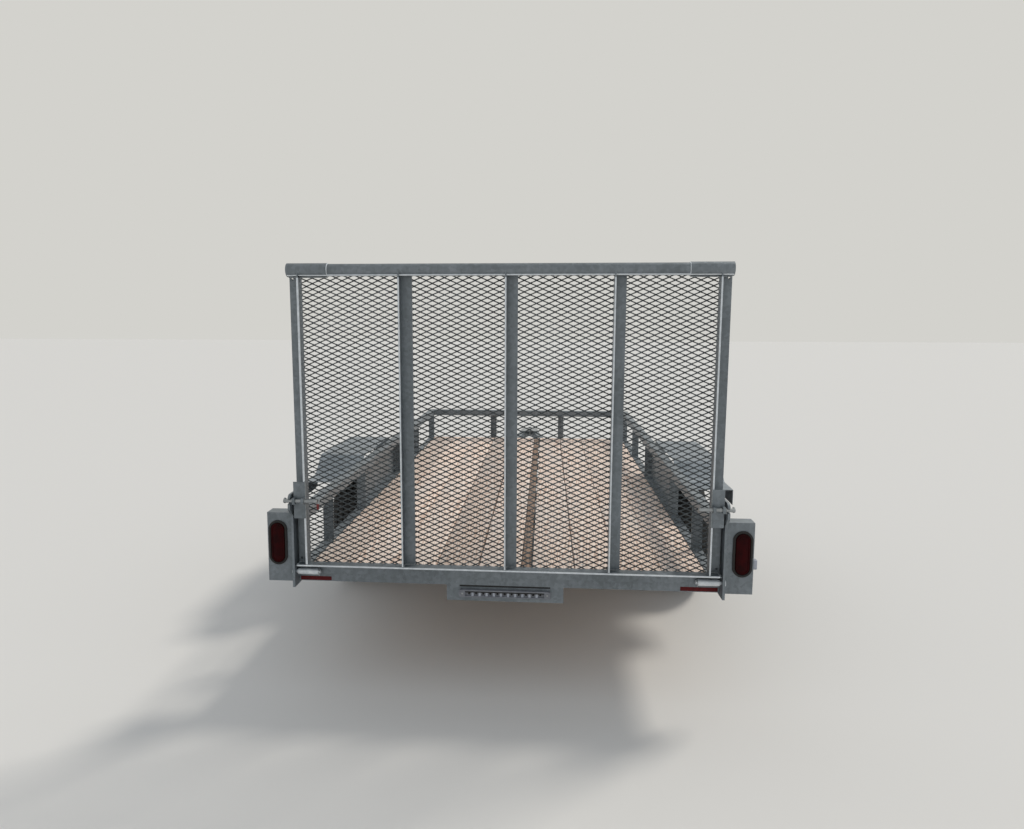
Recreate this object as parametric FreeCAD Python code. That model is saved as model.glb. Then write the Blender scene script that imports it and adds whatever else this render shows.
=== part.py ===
import FreeCAD, Part
import math
import os

# Single-axle utility trailer with a raised mesh ramp gate, in millimetres.
# X runs to the right as seen from behind, Y forward to the coupler and Z up from the ground.
# While it is built, Y = 0 is the rear face of the rear sill; at the end everything is centred along Y.
# Heights hang from the axle line, widths from the bed's width and places in front from its length.

# Bed frame
BED_LENGTH = 3658.0
BED_WIDTH = 1829.0
RIDE_HEIGHT = 146.0
FRAME_DEPTH = 76.0
FRAME_FLANGE = 48.0
FRAME_WALL = 5.0
CROSSMEMBER_COUNT = 8
CROSSMEMBER_LEG = 51.0
CROSSMEMBER_INSET = 60.0

# Deck
BOARD_WIDTH = 184.0
BOARD_THICKNESS = 38.0
FILLER_WIDTH = 46.0
BOARD_END_GAP = 2.0

# Side and front rails
RAIL_SIZE = 51.0
RAIL_WALL = 3.0
RAIL_CORNER = 6.0
RAIL_HEIGHT = 259.0
POST_LEG = 51.0
POST_WALL = 5.0
REAR_POST_Y = 360.0
WHEEL_POST_REACH = 484.5
FORWARD_POST_SETBACK = 878.0
FRONT_POST_OFFSET = 310.0
PANEL_WALL = 3.0

# Tyres
AXLE_Y = 1535.0
TYRE_DIAMETER = 688.0
TYRE_WIDTH = 203.0
TYRE_OFFSET = 127.5
TREAD_CROWN = 6.0
SHOULDER_HEIGHT = 26.0
BULGE_HEIGHT = 42.0
BEAD_GAP = 0.3

# Rims and hubs
RIM_DIAMETER = 381.0
RIM_WIDTH = 152.0
RIM_WALL = 3.5
RIM_FLANGE = 13.0
RIM_WELL = 22.0
RIM_SEAT = 24.0
RIM_SLOPE = 12.0
WELL_OUTER = 40.0
DISC_WALL = 9.0
DISC_FACE = 4.0
DISC_FACE_RADIUS = 75.0
DISC_CROWN = 34.0
DISC_CROWN_IN = 100.0
DISC_CROWN_OUT = 137.0
DISC_HOLE = 30.0
DISC_HOLES = 5
DISC_BORE = 84.0
HUB_FLANGE_DIAMETER = 150.0
HUB_FLANGE = 12.0
HUB_INNER = 60.0
HUB_BARREL = 110.0
HUB_CAP = 60.0
HUB_CAP_DIAMETER = 62.0
HUB_CAP_CORNER = 8.0

# Axle, springs, hangers and the clamps that tie them
AXLE_DIAMETER = 60.0
SPRING_INSET = 34.5
SPRING_WIDTH = 45.0
SPRING_HALF = 320.0
LEAF = 7.0
LEAF_COUNT = 4
LEAF_STEP = 0.2
SPRING_RISE = 30.0
SPRING_SEAT = 8.0
SEAT_HALF = 45.0
EYE_RADIUS = 16.0
EYE_DROP = 4.0
SPRING_PIN = 8.0
SPRING_PIN_GAP = 0.3
HANGER_WALL = 5.0
HANGER_HALF = 26.0
HANGER_GAP = 1.0
SHACKLE_HALF = 12.0
SHACKLE_LEAN = 16.0
SHACKLE_PIN_DROP = 17.0
TIE_HALF = 48.0
TIE_OVERHANG = 20.0
TIE_WALL = 8.0
U_BOLT = 6.0
U_BOLT_GAP = 2.0
U_BOLT_END = 16.0

# Fenders
FENDER_WIDTH = 265.5
FENDER_WALL = 2.5
FENDER_CREST_HEIGHT = 274.0
FENDER_STEP_DROP = 100.0
FENDER_LIP = 82.0
FENDER_HALF = 665.0
FENDER_STEP_LENGTH = 200.0
FENDER_RISE_LENGTH = 120.0
FENDER_BEND = 45.0

# Hinge plates at the rear corners, each with a head that is notched for the latch rod
HINGE_PLATE_WALL = 10.0
HINGE_PLATE_DROP = 10.0
HINGE_PLATE_HEIGHT = 420.0
HINGE_PLATE_FRONT = 40.0
HINGE_PLATE_REAR = 62.0
HINGE_PLATE_CORNER = 24.0
LATCH_HEAD_HEIGHT = 100.0
LATCH_HEAD_SLOPE = 36.0
LATCH_HEAD_REAR = 98.0
LATCH_CLEARANCE = 3.0

# Lamp boxes, grommets, lenses and the marker on the right-hand box
LAMP_BOX_WIDTH = 125.5
LAMP_BOX_HEIGHT = 310.0
LAMP_BOX_REAR = 12.0
LAMP_BOX_DEPTH = 70.0
LAMP_BOX_WALL = 3.0
LAMP_OFFSET = 78.5
LAMP_DROP = 140.0
GROMMET_WIDTH = 78.0
GROMMET_HEIGHT = 190.0
GROMMET_RIM = 5.0
GROMMET_GROOVE = 4.0
GROMMET_DEPTH = 12.0
GROMMET_FLOOR = 4.0
LENS_WIDTH = 56.0
LENS_HEIGHT = 160.0
LENS_PROUD = 6.0
MARKER_HEIGHT = 44.0
MARKER_WIDTH = 30.0
MARKER_CORNER = 8.0
MARKER_PROUD = 22.0
MARKER_DROP = 188.0

# Light bar under the rear sill
LIGHT_PLATE_HALF = 255.0
LIGHT_PLATE_DROP = 70.0
LIGHT_PLATE_WALL = 4.0
LIGHT_PLATE_LEG = 30.0
LIGHT_PLATE_NOTCH = 5.0
LIGHT_BAR_HALF = 198.5
LIGHT_BAR_HEIGHT = 32.0
LIGHT_BAR_DEPTH = 20.0
LIGHT_BAR_CORNER = 8.0
LIGHT_BAR_DROP = 31.0

# Ramp gate; it is drawn upright and then leaned back about its hinge
GATE_SIDE_GAP = 6.5
GATE_RISE = 41.0
GATE_HEIGHT = 1341.0
GATE_LEAN = 1.0
GATE_GAP = 12.0
ANGLE_LEG = 51.0
ANGLE_WALL = 5.0
GATE_TUBE = 51.0
GATE_TUBE_WALL = 3.0
BAR_SPACING = 440.0
VENT_RADIUS = 5.0
VENT_INSET = 12.0
VENT_TOP = 36.0
VENT_BOTTOM = 18.0
TAB_LEFT = -67.0
TAB_WIDTH = 54.0
TAB_HEIGHT = 37.0
TAB_DROP = 8.0
TAB_WALL = 4.0

# Expanded metal of the gate, its diamonds drawn four times as large as the real ones
MESH_THICKNESS = 6.0
MESH_PITCH_X = 203.2
MESH_PITCH_Z = 93.6
MESH_STRAND_X = 10.0
MESH_STRAND_Z = 5.0
MESH_MARGIN = 4.0
MESH_LAP = 30.0
MESH_SLIVER = 10.0

# Gate fittings
CORNER_SLEEVE_LENGTH = 170.0
CORNER_SLEEVE_WALL = 3.0
HINGE_RISE = 12.0
PIN_RADIUS = 8.0
PIN_CLEARANCE = 0.5
PIN_HEAD = 13.0
PIN_HEAD_DEPTH = 8.0
PIN_TAIL = 9.0
SLEEVE_RADIUS = 13.5
SLEEVE_LENGTH = 90.0
LATCH_DROP = 27.0
LATCH_PLATE_WIDTH = 50.0
LATCH_PLATE_HEIGHT = 160.0
LATCH_PLATE_INSET = 2.0
LATCH_ROD_LENGTH = 145.0
LATCH_ROD_OVERHANG = 20.5
LATCH_GUIDE = 26.0
LATCH_GUIDE_WIDTH = 12.0

# Drawbar and coupler
TONGUE_ANGLE = 8.0
TONGUE_WIDTH = 51.0
TONGUE_DEPTH = 76.0
TONGUE_WALL = 4.0
TONGUE_CORNER = 6.0
TONGUE_REACH = 1142.0
TONGUE_TUCK = 1158.0
TONGUE_NOSE_X = 37.0
COUPLER_WALL = 5.0
COUPLER_LENGTH = 240.0
COUPLER_SKIRT = 66.0
BALL_RADIUS = 25.4
BALL_CLEARANCE = 0.4
BALL_REACH = 155.0
BALL_DROP = 42.0
DOME_WALL = 9.0
SOCKET_SKIRT = 20.0
NOSE_DROP = 6.0
LATCH_LEVER = 105.0
LATCH_LEVER_SETBACK = 30.0
LATCH_LEVER_WIDTH = 32.0
LATCH_LEVER_FRONT = 12.0
LATCH_LEVER_RISE = 26.0

# Swivel jack on the left-hand member
JACK_SETBACK = 450.0
JACK_OFFSET = 79.0
JACK_PLATE_HALF = 60.0
JACK_PLATE_WALL = 8.0
JACK_TUBE_RADIUS = 28.5
JACK_TUBE_WALL = 3.0
JACK_TUBE_ABOVE = 348.0
JACK_TUBE_BELOW = 202.0
JACK_CAP = 6.0
JACK_LEG_CLEARANCE = 0.6
JACK_LEG_WALL = 3.0
JACK_LEG_OVERLAP = 108.0
FOOT_RADIUS = 65.0
FOOT_WALL = 6.0
SWIVEL_RADIUS = 42.0
SWIVEL_DEPTH = 8.0
SWIVEL_GAP = 1.0
SWIVEL_PIN = 15.0
SWIVEL_STUB = 36.0
CRANK_ARM = 110.0
CRANK_RADIUS = 6.0
CRANK_HEIGHT = 15.0
CRANK_BEND = 12.0
CRANK_GRIP_RADIUS = 11.0
CRANK_GRIP_BOTTOM = 22.0
CRANK_GRIP_TOP = 95.0

# Heights, from the ground up
AXLE_Z = TYRE_DIAMETER / 2
SEAT_TOP = AXLE_Z + AXLE_DIAMETER / 2 + SPRING_SEAT
FRAME_BOTTOM = AXLE_Z + RIDE_HEIGHT
FRAME_TOP = FRAME_BOTTOM + FRAME_DEPTH
BOARD_BOTTOM = FRAME_TOP - BOARD_THICKNESS
RAIL_TOP = FRAME_TOP + RAIL_HEIGHT
RAIL_BOTTOM = RAIL_TOP - RAIL_SIZE
FENDER_CREST = FRAME_TOP + FENDER_CREST_HEIGHT
FENDER_STEP = FENDER_CREST - FENDER_STEP_DROP
HINGE_PLATE_BOTTOM = FRAME_BOTTOM - HINGE_PLATE_DROP
HINGE_PLATE_TOP = HINGE_PLATE_BOTTOM + HINGE_PLATE_HEIGHT
LAMP_BOX_TOP = FRAME_BOTTOM + LAMP_BOX_HEIGHT
LAMP_Z = LAMP_BOX_TOP - LAMP_DROP
GATE_BOTTOM = FRAME_BOTTOM + GATE_RISE
GATE_TOP = GATE_BOTTOM + GATE_HEIGHT
HINGE_Z = GATE_BOTTOM + HINGE_RISE
LATCH_Z = HINGE_PLATE_TOP - LATCH_DROP
TONGUE_TOP = FRAME_BOTTOM
BALL_Z = TONGUE_TOP - BALL_DROP
JACK_PIVOT_Z = TONGUE_TOP - TONGUE_DEPTH / 2
JACK_TOP = JACK_PIVOT_Z + JACK_TUBE_ABOVE
JACK_LEG_TOP = JACK_PIVOT_Z + JACK_LEG_OVERLAP

# Widths, from the middle out
HALF_BED = BED_WIDTH / 2
INNER_HALF = HALF_BED - FRAME_FLANGE
WEB_INNER = HALF_BED - FRAME_WALL
PLATE_OUTER = HALF_BED + HINGE_PLATE_WALL
LAMP_BOX_OUTER_X = PLATE_OUTER + LAMP_BOX_WIDTH
LAMP_X = PLATE_OUTER + LAMP_OFFSET
FENDER_OUTER_X = HALF_BED + FENDER_WIDTH
TYRE_CENTRE_X = HALF_BED + TYRE_OFFSET
SPRING_X = HALF_BED - SPRING_INSET
GATE_HALF = HALF_BED - GATE_SIDE_GAP
SLEEVE_INNER_X = GATE_HALF - SLEEVE_LENGTH
LATCH_ROD_OUTER = PLATE_OUTER + LATCH_ROD_OVERHANG

# Places along the trailer
FLAT_REAR = -GATE_GAP - ANGLE_WALL
FIN_REAR = -GATE_GAP - ANGLE_LEG
HINGE_Y = FLAT_REAR - SLEEVE_RADIUS
LATCH_PLATE_REAR = FIN_REAR - ANGLE_WALL
LATCH_ROD_Y = LATCH_PLATE_REAR - LATCH_GUIDE / 2
TONGUE_FRONT = BED_LENGTH + TONGUE_REACH
TONGUE_TAIL = BED_LENGTH - TONGUE_TUCK
COUPLER_REAR = TONGUE_FRONT - COUPLER_LENGTH
BALL_Y = TONGUE_FRONT + BALL_REACH
JACK_Y = TONGUE_FRONT - JACK_SETBACK
TONGUE_SLOPE = math.tan(math.radians(TONGUE_ANGLE))
TONGUE_HALF_WIDTH = TONGUE_WIDTH / 2 / math.cos(math.radians(TONGUE_ANGLE))

# How far a cutting tool runs past what it cuts, and how many flat sides a bent bar is drawn with
PAST = 1.0
BENT_SIDES = 8

parts = {}


def vec(x, y, z):
    return FreeCAD.Vector(x, y, z)


def box(x0, x1, y0, y1, z0, z1):
    return Part.makeBox(x1 - x0, y1 - y0, z1 - z0, vec(x0, y0, z0))


def prism(points, push):
    """Straight-sided solid: a flat outline of points pushed along a vector."""
    wire = Part.makePolygon([vec(*p) for p in points] + [vec(*points[0])])
    return Part.Face(wire).extrude(vec(*push))


def rod(radius, start, end):
    """Solid round bar between two points."""
    axis = vec(*end) - vec(*start)
    return Part.makeCylinder(radius, axis.Length, vec(*start), axis)


def pipe(outer, inner, start, end):
    return rod(outer, start, end).cut(rod(inner, start, end))


def rounded_rectangle(width, height, corner):
    """Outline in the XZ plane about the origin, with round corners."""
    w, h, r = width / 2, height / 2, corner
    k = r * (1 - math.sqrt(0.5))
    edges = []
    for sx, sz, turn in ((1, 1, 1), (-1, 1, -1), (-1, -1, 1), (1, -1, -1)):
        a, b = vec(sx * w, 0, sz * (h - r)), vec(sx * (w - r), 0, sz * h)
        middle = vec(sx * (w - k), 0, sz * (h - k))
        start, end = (a, b) if turn > 0 else (b, a)
        edges.append(Part.Arc(start, middle, end).toShape())
    full = []
    for i, edge in enumerate(edges):
        full.append(edge)
        a = edge.lastVertex().Point
        b = edges[(i + 1) % 4].firstVertex().Point
        if (a - b).Length > 1e-6:
            full.append(Part.LineSegment(a, b).toShape())
    return Part.Wire(full)


def rounded_bar(width, height, corner, length):
    """Bar along +Y from the origin, with a rounded rectangular section."""
    return Part.Face(rounded_rectangle(width, height, corner)).extrude(vec(0, length, 0))


def hollow_bar(width, height, wall, corner, length):
    inner = rounded_bar(width - 2 * wall, height - 2 * wall, corner - wall, length)
    return rounded_bar(width, height, corner, length).cut(inner)


def stadium(width, height, x, z, y0, y1):
    """Upright oval block with half-round ends, between two planes across Y."""
    nearly_round = width / 2 - 0.01
    return moved(rounded_bar(width, height, nearly_round, y1 - y0), x=x, y=y0, z=z)


def bent_line(points, radius):
    """Edges of an open line in the YZ plane whose inner corners are rounded."""
    pts = [vec(0, y, z) for y, z in points]
    edges, start = [], pts[0]
    for before, corner, after in zip(pts, pts[1:], pts[2:]):
        a, b = (before - corner), (after - corner)
        half = a.getAngle(b) / 2
        a.normalize()
        b.normalize()
        reach = radius / math.tan(half)
        bisector = a + b
        bisector.normalize()
        centre = corner + bisector * (radius / math.sin(half))
        arc_start, arc_end = corner + a * reach, corner + b * reach
        edges.append(Part.LineSegment(start, arc_start).toShape())
        edges.append(Part.Arc(arc_start, centre - bisector * radius, arc_end).toShape())
        start = arc_end
    edges.append(Part.LineSegment(start, pts[-1]).toShape())
    return edges


def bent_rod(edges, radius):
    """Bar with flat sides along joined lines and arcs in a YZ plane, its runs meeting face to face."""
    sideways = vec(1, 0, 0)
    pieces = []
    for edge in edges:
        first, last = edge.FirstParameter, edge.LastParameter
        start, across = edge.valueAt(first), edge.tangentAt(first).cross(sideways)
        turns = [2 * math.pi * (i + 0.5) / BENT_SIDES for i in range(BENT_SIDES + 1)]
        corners = [start + sideways * (radius * math.cos(a)) + across * (radius * math.sin(a)) for a in turns]
        section = Part.Face(Part.makePolygon(corners))
        if hasattr(edge.Curve, "Radius"):
            pieces.append(section.revolve(edge.Curve.Center, edge.Curve.Axis, math.degrees(last - first)))
        else:
            pieces.append(section.extrude(edge.valueAt(last) - start))
    return fused(pieces)


def moved(shape, x=0.0, y=0.0, z=0.0):
    copy = shape.copy()
    copy.translate(vec(x, y, z))
    return copy


def mirrored(shape):
    return shape.mirror(vec(0, 0, 0), vec(1, 0, 0))


def turned(shape, centre, axis, degrees):
    copy = shape.copy()
    copy.rotate(vec(*centre), vec(*axis), degrees)
    return copy


def fused(shapes):
    first, rest = shapes[0], list(shapes[1:])
    return first.fuse(rest).removeSplitter() if rest else first


def add(name, *shapes):
    """Files the solids of one named piece."""
    solids = [solid for shape in shapes for solid in shape.Solids]
    parts.setdefault(name, []).extend(solids)


def add_pair(name, shape):
    """Files a right-hand piece and its left-hand twin."""
    add(name + "_right", shape)
    add(name + "_left", mirrored(shape))


def bed_frame():
    w, f = FRAME_WALL, FRAME_FLANGE
    channel = prism([
        (HALF_BED, w, FRAME_BOTTOM), (HALF_BED, w, FRAME_TOP),
        (HALF_BED - f, w, FRAME_TOP), (HALF_BED - f, w, FRAME_TOP - w),
        (HALF_BED - w, w, FRAME_TOP - w), (HALF_BED - w, w, FRAME_BOTTOM + w),
        (HALF_BED - f, w, FRAME_BOTTOM + w), (HALF_BED - f, w, FRAME_BOTTOM),
    ], (0, BED_LENGTH - 2 * w, 0))
    add_pair("side_frame", channel)

    sill = fused([
        box(-HALF_BED, HALF_BED, 0, w, FRAME_BOTTOM, FRAME_TOP),
        box(-INNER_HALF, INNER_HALF, w, f, FRAME_BOTTOM, FRAME_BOTTOM + w),
    ])
    add("rear_sill", sill)
    add("front_sill", turned(sill, (0, BED_LENGTH / 2, 0), (0, 0, 1), 180))

    # The angles under the planks pass over the side frames' lower flanges and reach down between them
    last = BED_LENGTH - CROSSMEMBER_INSET - CROSSMEMBER_LEG
    step = (last - CROSSMEMBER_INSET) / (CROSSMEMBER_COUNT - 1)
    for i in range(CROSSMEMBER_COUNT):
        y = CROSSMEMBER_INSET + i * step
        add("crossmembers", fused([
            box(-WEB_INNER, WEB_INNER, y, y + CROSSMEMBER_LEG, BOARD_BOTTOM - w, BOARD_BOTTOM),
            box(-WEB_INNER, WEB_INNER, y, y + w, FRAME_BOTTOM + w, BOARD_BOTTOM - w),
            box(-INNER_HALF, INNER_HALF, y, y + w, FRAME_BOTTOM, FRAME_BOTTOM + w),
        ]))


def deck():
    """As many whole planks as fit between the side frames, with one filler strip right of the middle."""
    room = 2 * INNER_HALF - FILLER_WIDTH
    boards = int(room / BOARD_WIDTH)
    gap = (room - boards * BOARD_WIDTH) / (boards + 2)
    y0, y1 = FRAME_WALL + BOARD_END_GAP, BED_LENGTH - FRAME_WALL - BOARD_END_GAP
    x = -INNER_HALF + gap
    for i in range(boards + 1):
        filler = i == (boards + 1) // 2
        width = FILLER_WIDTH if filler else BOARD_WIDTH
        add("deck_filler_board" if filler else "deck_boards", box(x, x + width, y0, y1, BOARD_BOTTOM, FRAME_TOP))
        x += width + gap


def angle_post(x_out, toward, y, across_y):
    """Angle post under a rail: one leg lies in a side plane, the other crosses it at across_y."""
    t = POST_WALL
    x0, x1 = sorted((x_out, x_out + toward * t))
    x2, x3 = sorted((x_out + toward * t, x_out + toward * POST_LEG))
    return fused([
        box(x0, x1, y, y + POST_LEG, FRAME_TOP, RAIL_BOTTOM),
        box(x2, x3, across_y, across_y + t, FRAME_TOP, RAIL_BOTTOM),
    ])


def rails():
    centre_z = RAIL_TOP - RAIL_SIZE / 2
    side = hollow_bar(RAIL_SIZE, RAIL_SIZE, RAIL_WALL, RAIL_CORNER, BED_LENGTH - RAIL_SIZE)
    add_pair("top_rail", moved(side, x=HALF_BED - RAIL_SIZE / 2, z=centre_z))
    front = hollow_bar(RAIL_SIZE, RAIL_SIZE, RAIL_WALL, RAIL_CORNER, BED_WIDTH)
    front = turned(front, (0, 0, 0), (0, 0, 1), -90)
    add("top_rail_front", moved(front, x=-HALF_BED, y=BED_LENGTH - RAIL_SIZE / 2, z=centre_z))

    before_wheel = AXLE_Y - WHEEL_POST_REACH - POST_LEG
    behind_wheel = AXLE_Y + WHEEL_POST_REACH
    front_post = BED_LENGTH - POST_LEG
    for y in (0.0, REAR_POST_Y, before_wheel, behind_wheel, BED_LENGTH - FORWARD_POST_SETBACK, front_post):
        add_pair("rail_posts", angle_post(HALF_BED, -1, y, y))
    for x in (-FRONT_POST_OFFSET, FRONT_POST_OFFSET):
        add("rail_posts_front", angle_post(x - POST_LEG / 2, 1, front_post, BED_LENGTH - POST_WALL))

    panel = box(HALF_BED - PANEL_WALL, HALF_BED, before_wheel + POST_LEG, behind_wheel, FRAME_TOP, RAIL_BOTTOM)
    add_pair("wheel_panel", panel)


def fender_form(drop, inset, reach, x0, x1):
    """Solid under the fender's outline, lowered by drop, its slopes pulled in by inset, out to reach."""
    foot = FENDER_HALF - FENDER_STEP_LENGTH - inset
    crest = foot - FENDER_RISE_LENGTH
    step, top, low = FENDER_STEP - drop, FENDER_CREST - drop, FENDER_STEP - FENDER_STEP_DROP - 2 * FENDER_LIP
    line = bent_line([(-reach, step), (-foot, step), (-crest, top), (crest, top), (foot, step), (reach, step)],
                     FENDER_BEND)
    corners = [vec(0, reach, step), vec(0, reach, low), vec(0, -reach, low), vec(0, -reach, step)]
    line += [Part.LineSegment(a, b).toShape() for a, b in zip(corners, corners[1:])]
    return moved(Part.Face(Part.Wire(line)).extrude(vec(x1 - x0, 0, 0)), x=x0, y=AXLE_Y)


def fenders():
    """Folded sheet: a top that steps down at both ends and a skirt that follows it, open at the ends."""
    t = FENDER_WALL
    beyond = FENDER_HALF + PAST
    outer = fender_form(0.0, 0.0, FENDER_HALF, HALF_BED, FENDER_OUTER_X)
    hollow = fender_form(t, t, beyond, HALF_BED - PAST, FENDER_OUTER_X - t)
    arch = fender_form(FENDER_LIP, t, beyond, HALF_BED - PAST, FENDER_OUTER_X + PAST)
    add_pair("fender", outer.cut(hollow).cut(arch))


def ring(profile, x):
    """Solid of revolution about the axle line from a profile of (x offset, radius) points."""
    wire = Part.makePolygon([vec(x + px, AXLE_Y, AXLE_Z + r) for px, r in profile + [profile[0]]])
    return Part.Face(wire).revolve(vec(0, AXLE_Y, AXLE_Z), vec(1, 0, 0), 360)


def tyre_form():
    r_out, r_bead, half = TYRE_DIAMETER / 2, RIM_DIAMETER / 2, TYRE_WIDTH / 2
    shoulder = 0.78 * half
    bead = RIM_WIDTH / 2 - RIM_WALL - BEAD_GAP
    right = [
        (bead, r_bead + BEAD_GAP), (bead, r_bead + RIM_FLANGE + RIM_WALL), (0.94 * half, r_bead + BULGE_HEIGHT),
        (half, (r_out + r_bead) / 2), (0.94 * half, r_out - SHOULDER_HEIGHT),
        (shoulder, r_out - TREAD_CROWN), (0.6 * shoulder, r_out),
    ]
    return ring(right + [(-x, r) for x, r in reversed(right)], TYRE_CENTRE_X)


def rim_form():
    """A barrel with a drop centre and two flanges, and a dished disc with round hand holes."""
    half, w, r_bead = RIM_WIDTH / 2, RIM_WALL, RIM_DIAMETER / 2
    well = r_bead - RIM_WELL
    flange = r_bead + RIM_FLANGE
    inner_ramp, outer_ramp = -half + RIM_SEAT, half - WELL_OUTER
    line = [(-half + w, r_bead), (inner_ramp, r_bead), (inner_ramp + RIM_SLOPE, well),
            (outer_ramp - RIM_SLOPE, well), (outer_ramp, r_bead), (half - w, r_bead)]
    outside = [(-half, flange), (-half + w, flange)] + line + [(half - w, flange), (half, flange)]
    inside = [(half, r_bead - w)] + [(x, r - w) for x, r in reversed(line)] + [(-half, r_bead - w)]
    barrel = ring(outside + inside, TYRE_CENTRE_X)

    dish = [(DISC_FACE, DISC_BORE / 2), (DISC_FACE, DISC_FACE_RADIUS), (DISC_CROWN, DISC_CROWN_IN),
            (DISC_CROWN, DISC_CROWN_OUT), (DISC_FACE, well - w)]
    disc = ring(dish + [(x - DISC_WALL, r) for x, r in reversed(dish)], TYRE_CENTRE_X)
    hole_z = AXLE_Z + (DISC_CROWN_IN + DISC_CROWN_OUT) / 2
    holes = []
    for i in range(DISC_HOLES):
        hole = rod(DISC_HOLE / 2, (TYRE_CENTRE_X, AXLE_Y, hole_z), (TYRE_CENTRE_X + half, AXLE_Y, hole_z))
        holes.append(turned(hole, (0, AXLE_Y, AXLE_Z), (1, 0, 0), 360 / DISC_HOLES * (i + 0.5)))
    return fused([barrel, disc.cut(Part.Compound(holes))])


def wheels():
    add_pair("tyre", tyre_form())
    add_pair("rim", rim_form())
    cap_r = HUB_CAP_DIAMETER / 2
    face = DISC_FACE - DISC_WALL
    back = face - HUB_FLANGE
    add_pair("hub", ring([
        (face, cap_r), (HUB_CAP - HUB_CAP_CORNER, cap_r), (HUB_CAP, cap_r - HUB_CAP_CORNER), (HUB_CAP, 0),
        (-HUB_INNER, 0), (-HUB_INNER, HUB_BARREL / 2), (back, HUB_BARREL / 2),
        (back, HUB_FLANGE_DIAMETER / 2), (face, HUB_FLANGE_DIAMETER / 2),
    ], TYRE_CENTRE_X))


def running_gear():
    """The axle, and for the right-hand side a leaf spring, its fixed hanger, its shackle and its clamp."""
    x0, x1 = SPRING_X - SPRING_WIDTH / 2, SPRING_X + SPRING_WIDTH / 2
    bend = (SPRING_HALF ** 2 + SPRING_RISE ** 2) / (2 * SPRING_RISE)
    centre = SEAT_TOP + bend
    top = bend - LEAF_COUNT * LEAF
    eye_z = centre - math.sqrt(top ** 2 - SPRING_HALF ** 2) + EYE_DROP
    rear, front = AXLE_Y - SPRING_HALF, AXLE_Y + SPRING_HALF

    face = TYRE_CENTRE_X - HUB_INNER - BEAD_GAP
    axle = rod(AXLE_DIAMETER / 2, (-face, AXLE_Y, AXLE_Z), (face, AXLE_Y, AXLE_Z))
    seat = box(x0, x1, AXLE_Y - SEAT_HALF, AXLE_Y + SEAT_HALF, AXLE_Z, SEAT_TOP)
    add("axle_beam", fused([axle, seat, mirrored(seat)]))
    add_pair("leaf_spring", leaf_spring(x0, x1, bend, centre, eye_z))

    cheeks = (x0 - HANGER_GAP - HANGER_WALL, x1 + HANGER_GAP)
    add_pair("spring_hangers", hanger(cheeks, front, eye_z))
    add_pair("spring_hangers", shackle(cheeks, rear, eye_z))
    clamp = spring_clamp(x0, x1, centre - math.sqrt(top ** 2 - TIE_HALF ** 2))
    add("spring_clamps", clamp, mirrored(clamp))


def leaf_spring(x0, x1, bend, centre, eye_z):
    leaves = []
    for k in range(LEAF_COUNT):
        outer = bend - k * LEAF
        reach = SPRING_HALF * (1 - LEAF_STEP * (LEAF_COUNT - 1 - k))
        arc = pipe(outer, outer - LEAF, (x0, AXLE_Y, centre), (x1, AXLE_Y, centre))
        leaves.append(arc.common(box(x0, x1, AXLE_Y - reach, AXLE_Y + reach, 0, centre)))
    ends = (AXLE_Y - SPRING_HALF, AXLE_Y + SPRING_HALF)
    eyes = [rod(EYE_RADIUS, (x0, y, eye_z), (x1, y, eye_z)) for y in ends]
    bores = [rod(SPRING_PIN + SPRING_PIN_GAP, (x0, y, eye_z), (x1, y, eye_z)) for y in ends]
    return fused(leaves + eyes).cut(Part.Compound(bores))


def hanger(cheeks, y, eye_z):
    """Fixed bracket under the frame: two cheeks, their top plate and the pin through the spring's eye."""
    end = cheeks[1] + HANGER_WALL
    pieces = [rod(SPRING_PIN, (cheeks[0], y, eye_z), (end, y, eye_z)),
              box(cheeks[0], end, y - HANGER_HALF, y + HANGER_HALF, FRAME_BOTTOM - HANGER_WALL, FRAME_BOTTOM)]
    for x in cheeks:
        pieces.append(box(x, x + HANGER_WALL, y - HANGER_HALF, y + HANGER_HALF, eye_z - HANGER_HALF, FRAME_BOTTOM))
    return fused(pieces)


def shackle(cheeks, y, eye_z):
    """Two links that hang from a block under the frame and let the spring's rear eye swing."""
    end = cheeks[1] + HANGER_WALL
    upper_y, upper_z = y - SHACKLE_LEAN, FRAME_BOTTOM - SHACKLE_PIN_DROP
    pieces = [
        box(cheeks[0] + HANGER_WALL + HANGER_GAP, cheeks[1] - HANGER_GAP, upper_y - HANGER_HALF,
            upper_y + SHACKLE_HALF, upper_z - SPRING_PIN, FRAME_BOTTOM),
        rod(SPRING_PIN, (cheeks[0], upper_y, upper_z), (end, upper_y, upper_z)),
        rod(SPRING_PIN, (cheeks[0], y, eye_z), (end, y, eye_z)),
    ]
    run = vec(0, y - upper_y, eye_z - upper_z).normalize()
    side_y, side_z = -run.z * SHACKLE_HALF, run.y * SHACKLE_HALF
    for x in cheeks:
        for at_y, at_z in ((upper_y, upper_z), (y, eye_z)):
            pieces.append(rod(SHACKLE_HALF, (x, at_y, at_z), (x + HANGER_WALL, at_y, at_z)))
        pieces.append(prism([
            (x, upper_y + side_y, upper_z + side_z), (x, y + side_y, eye_z + side_z),
            (x, y - side_y, eye_z - side_z), (x, upper_y - side_y, upper_z - side_z),
        ], (HANGER_WALL, 0, 0)))
    return fused(pieces)


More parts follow.
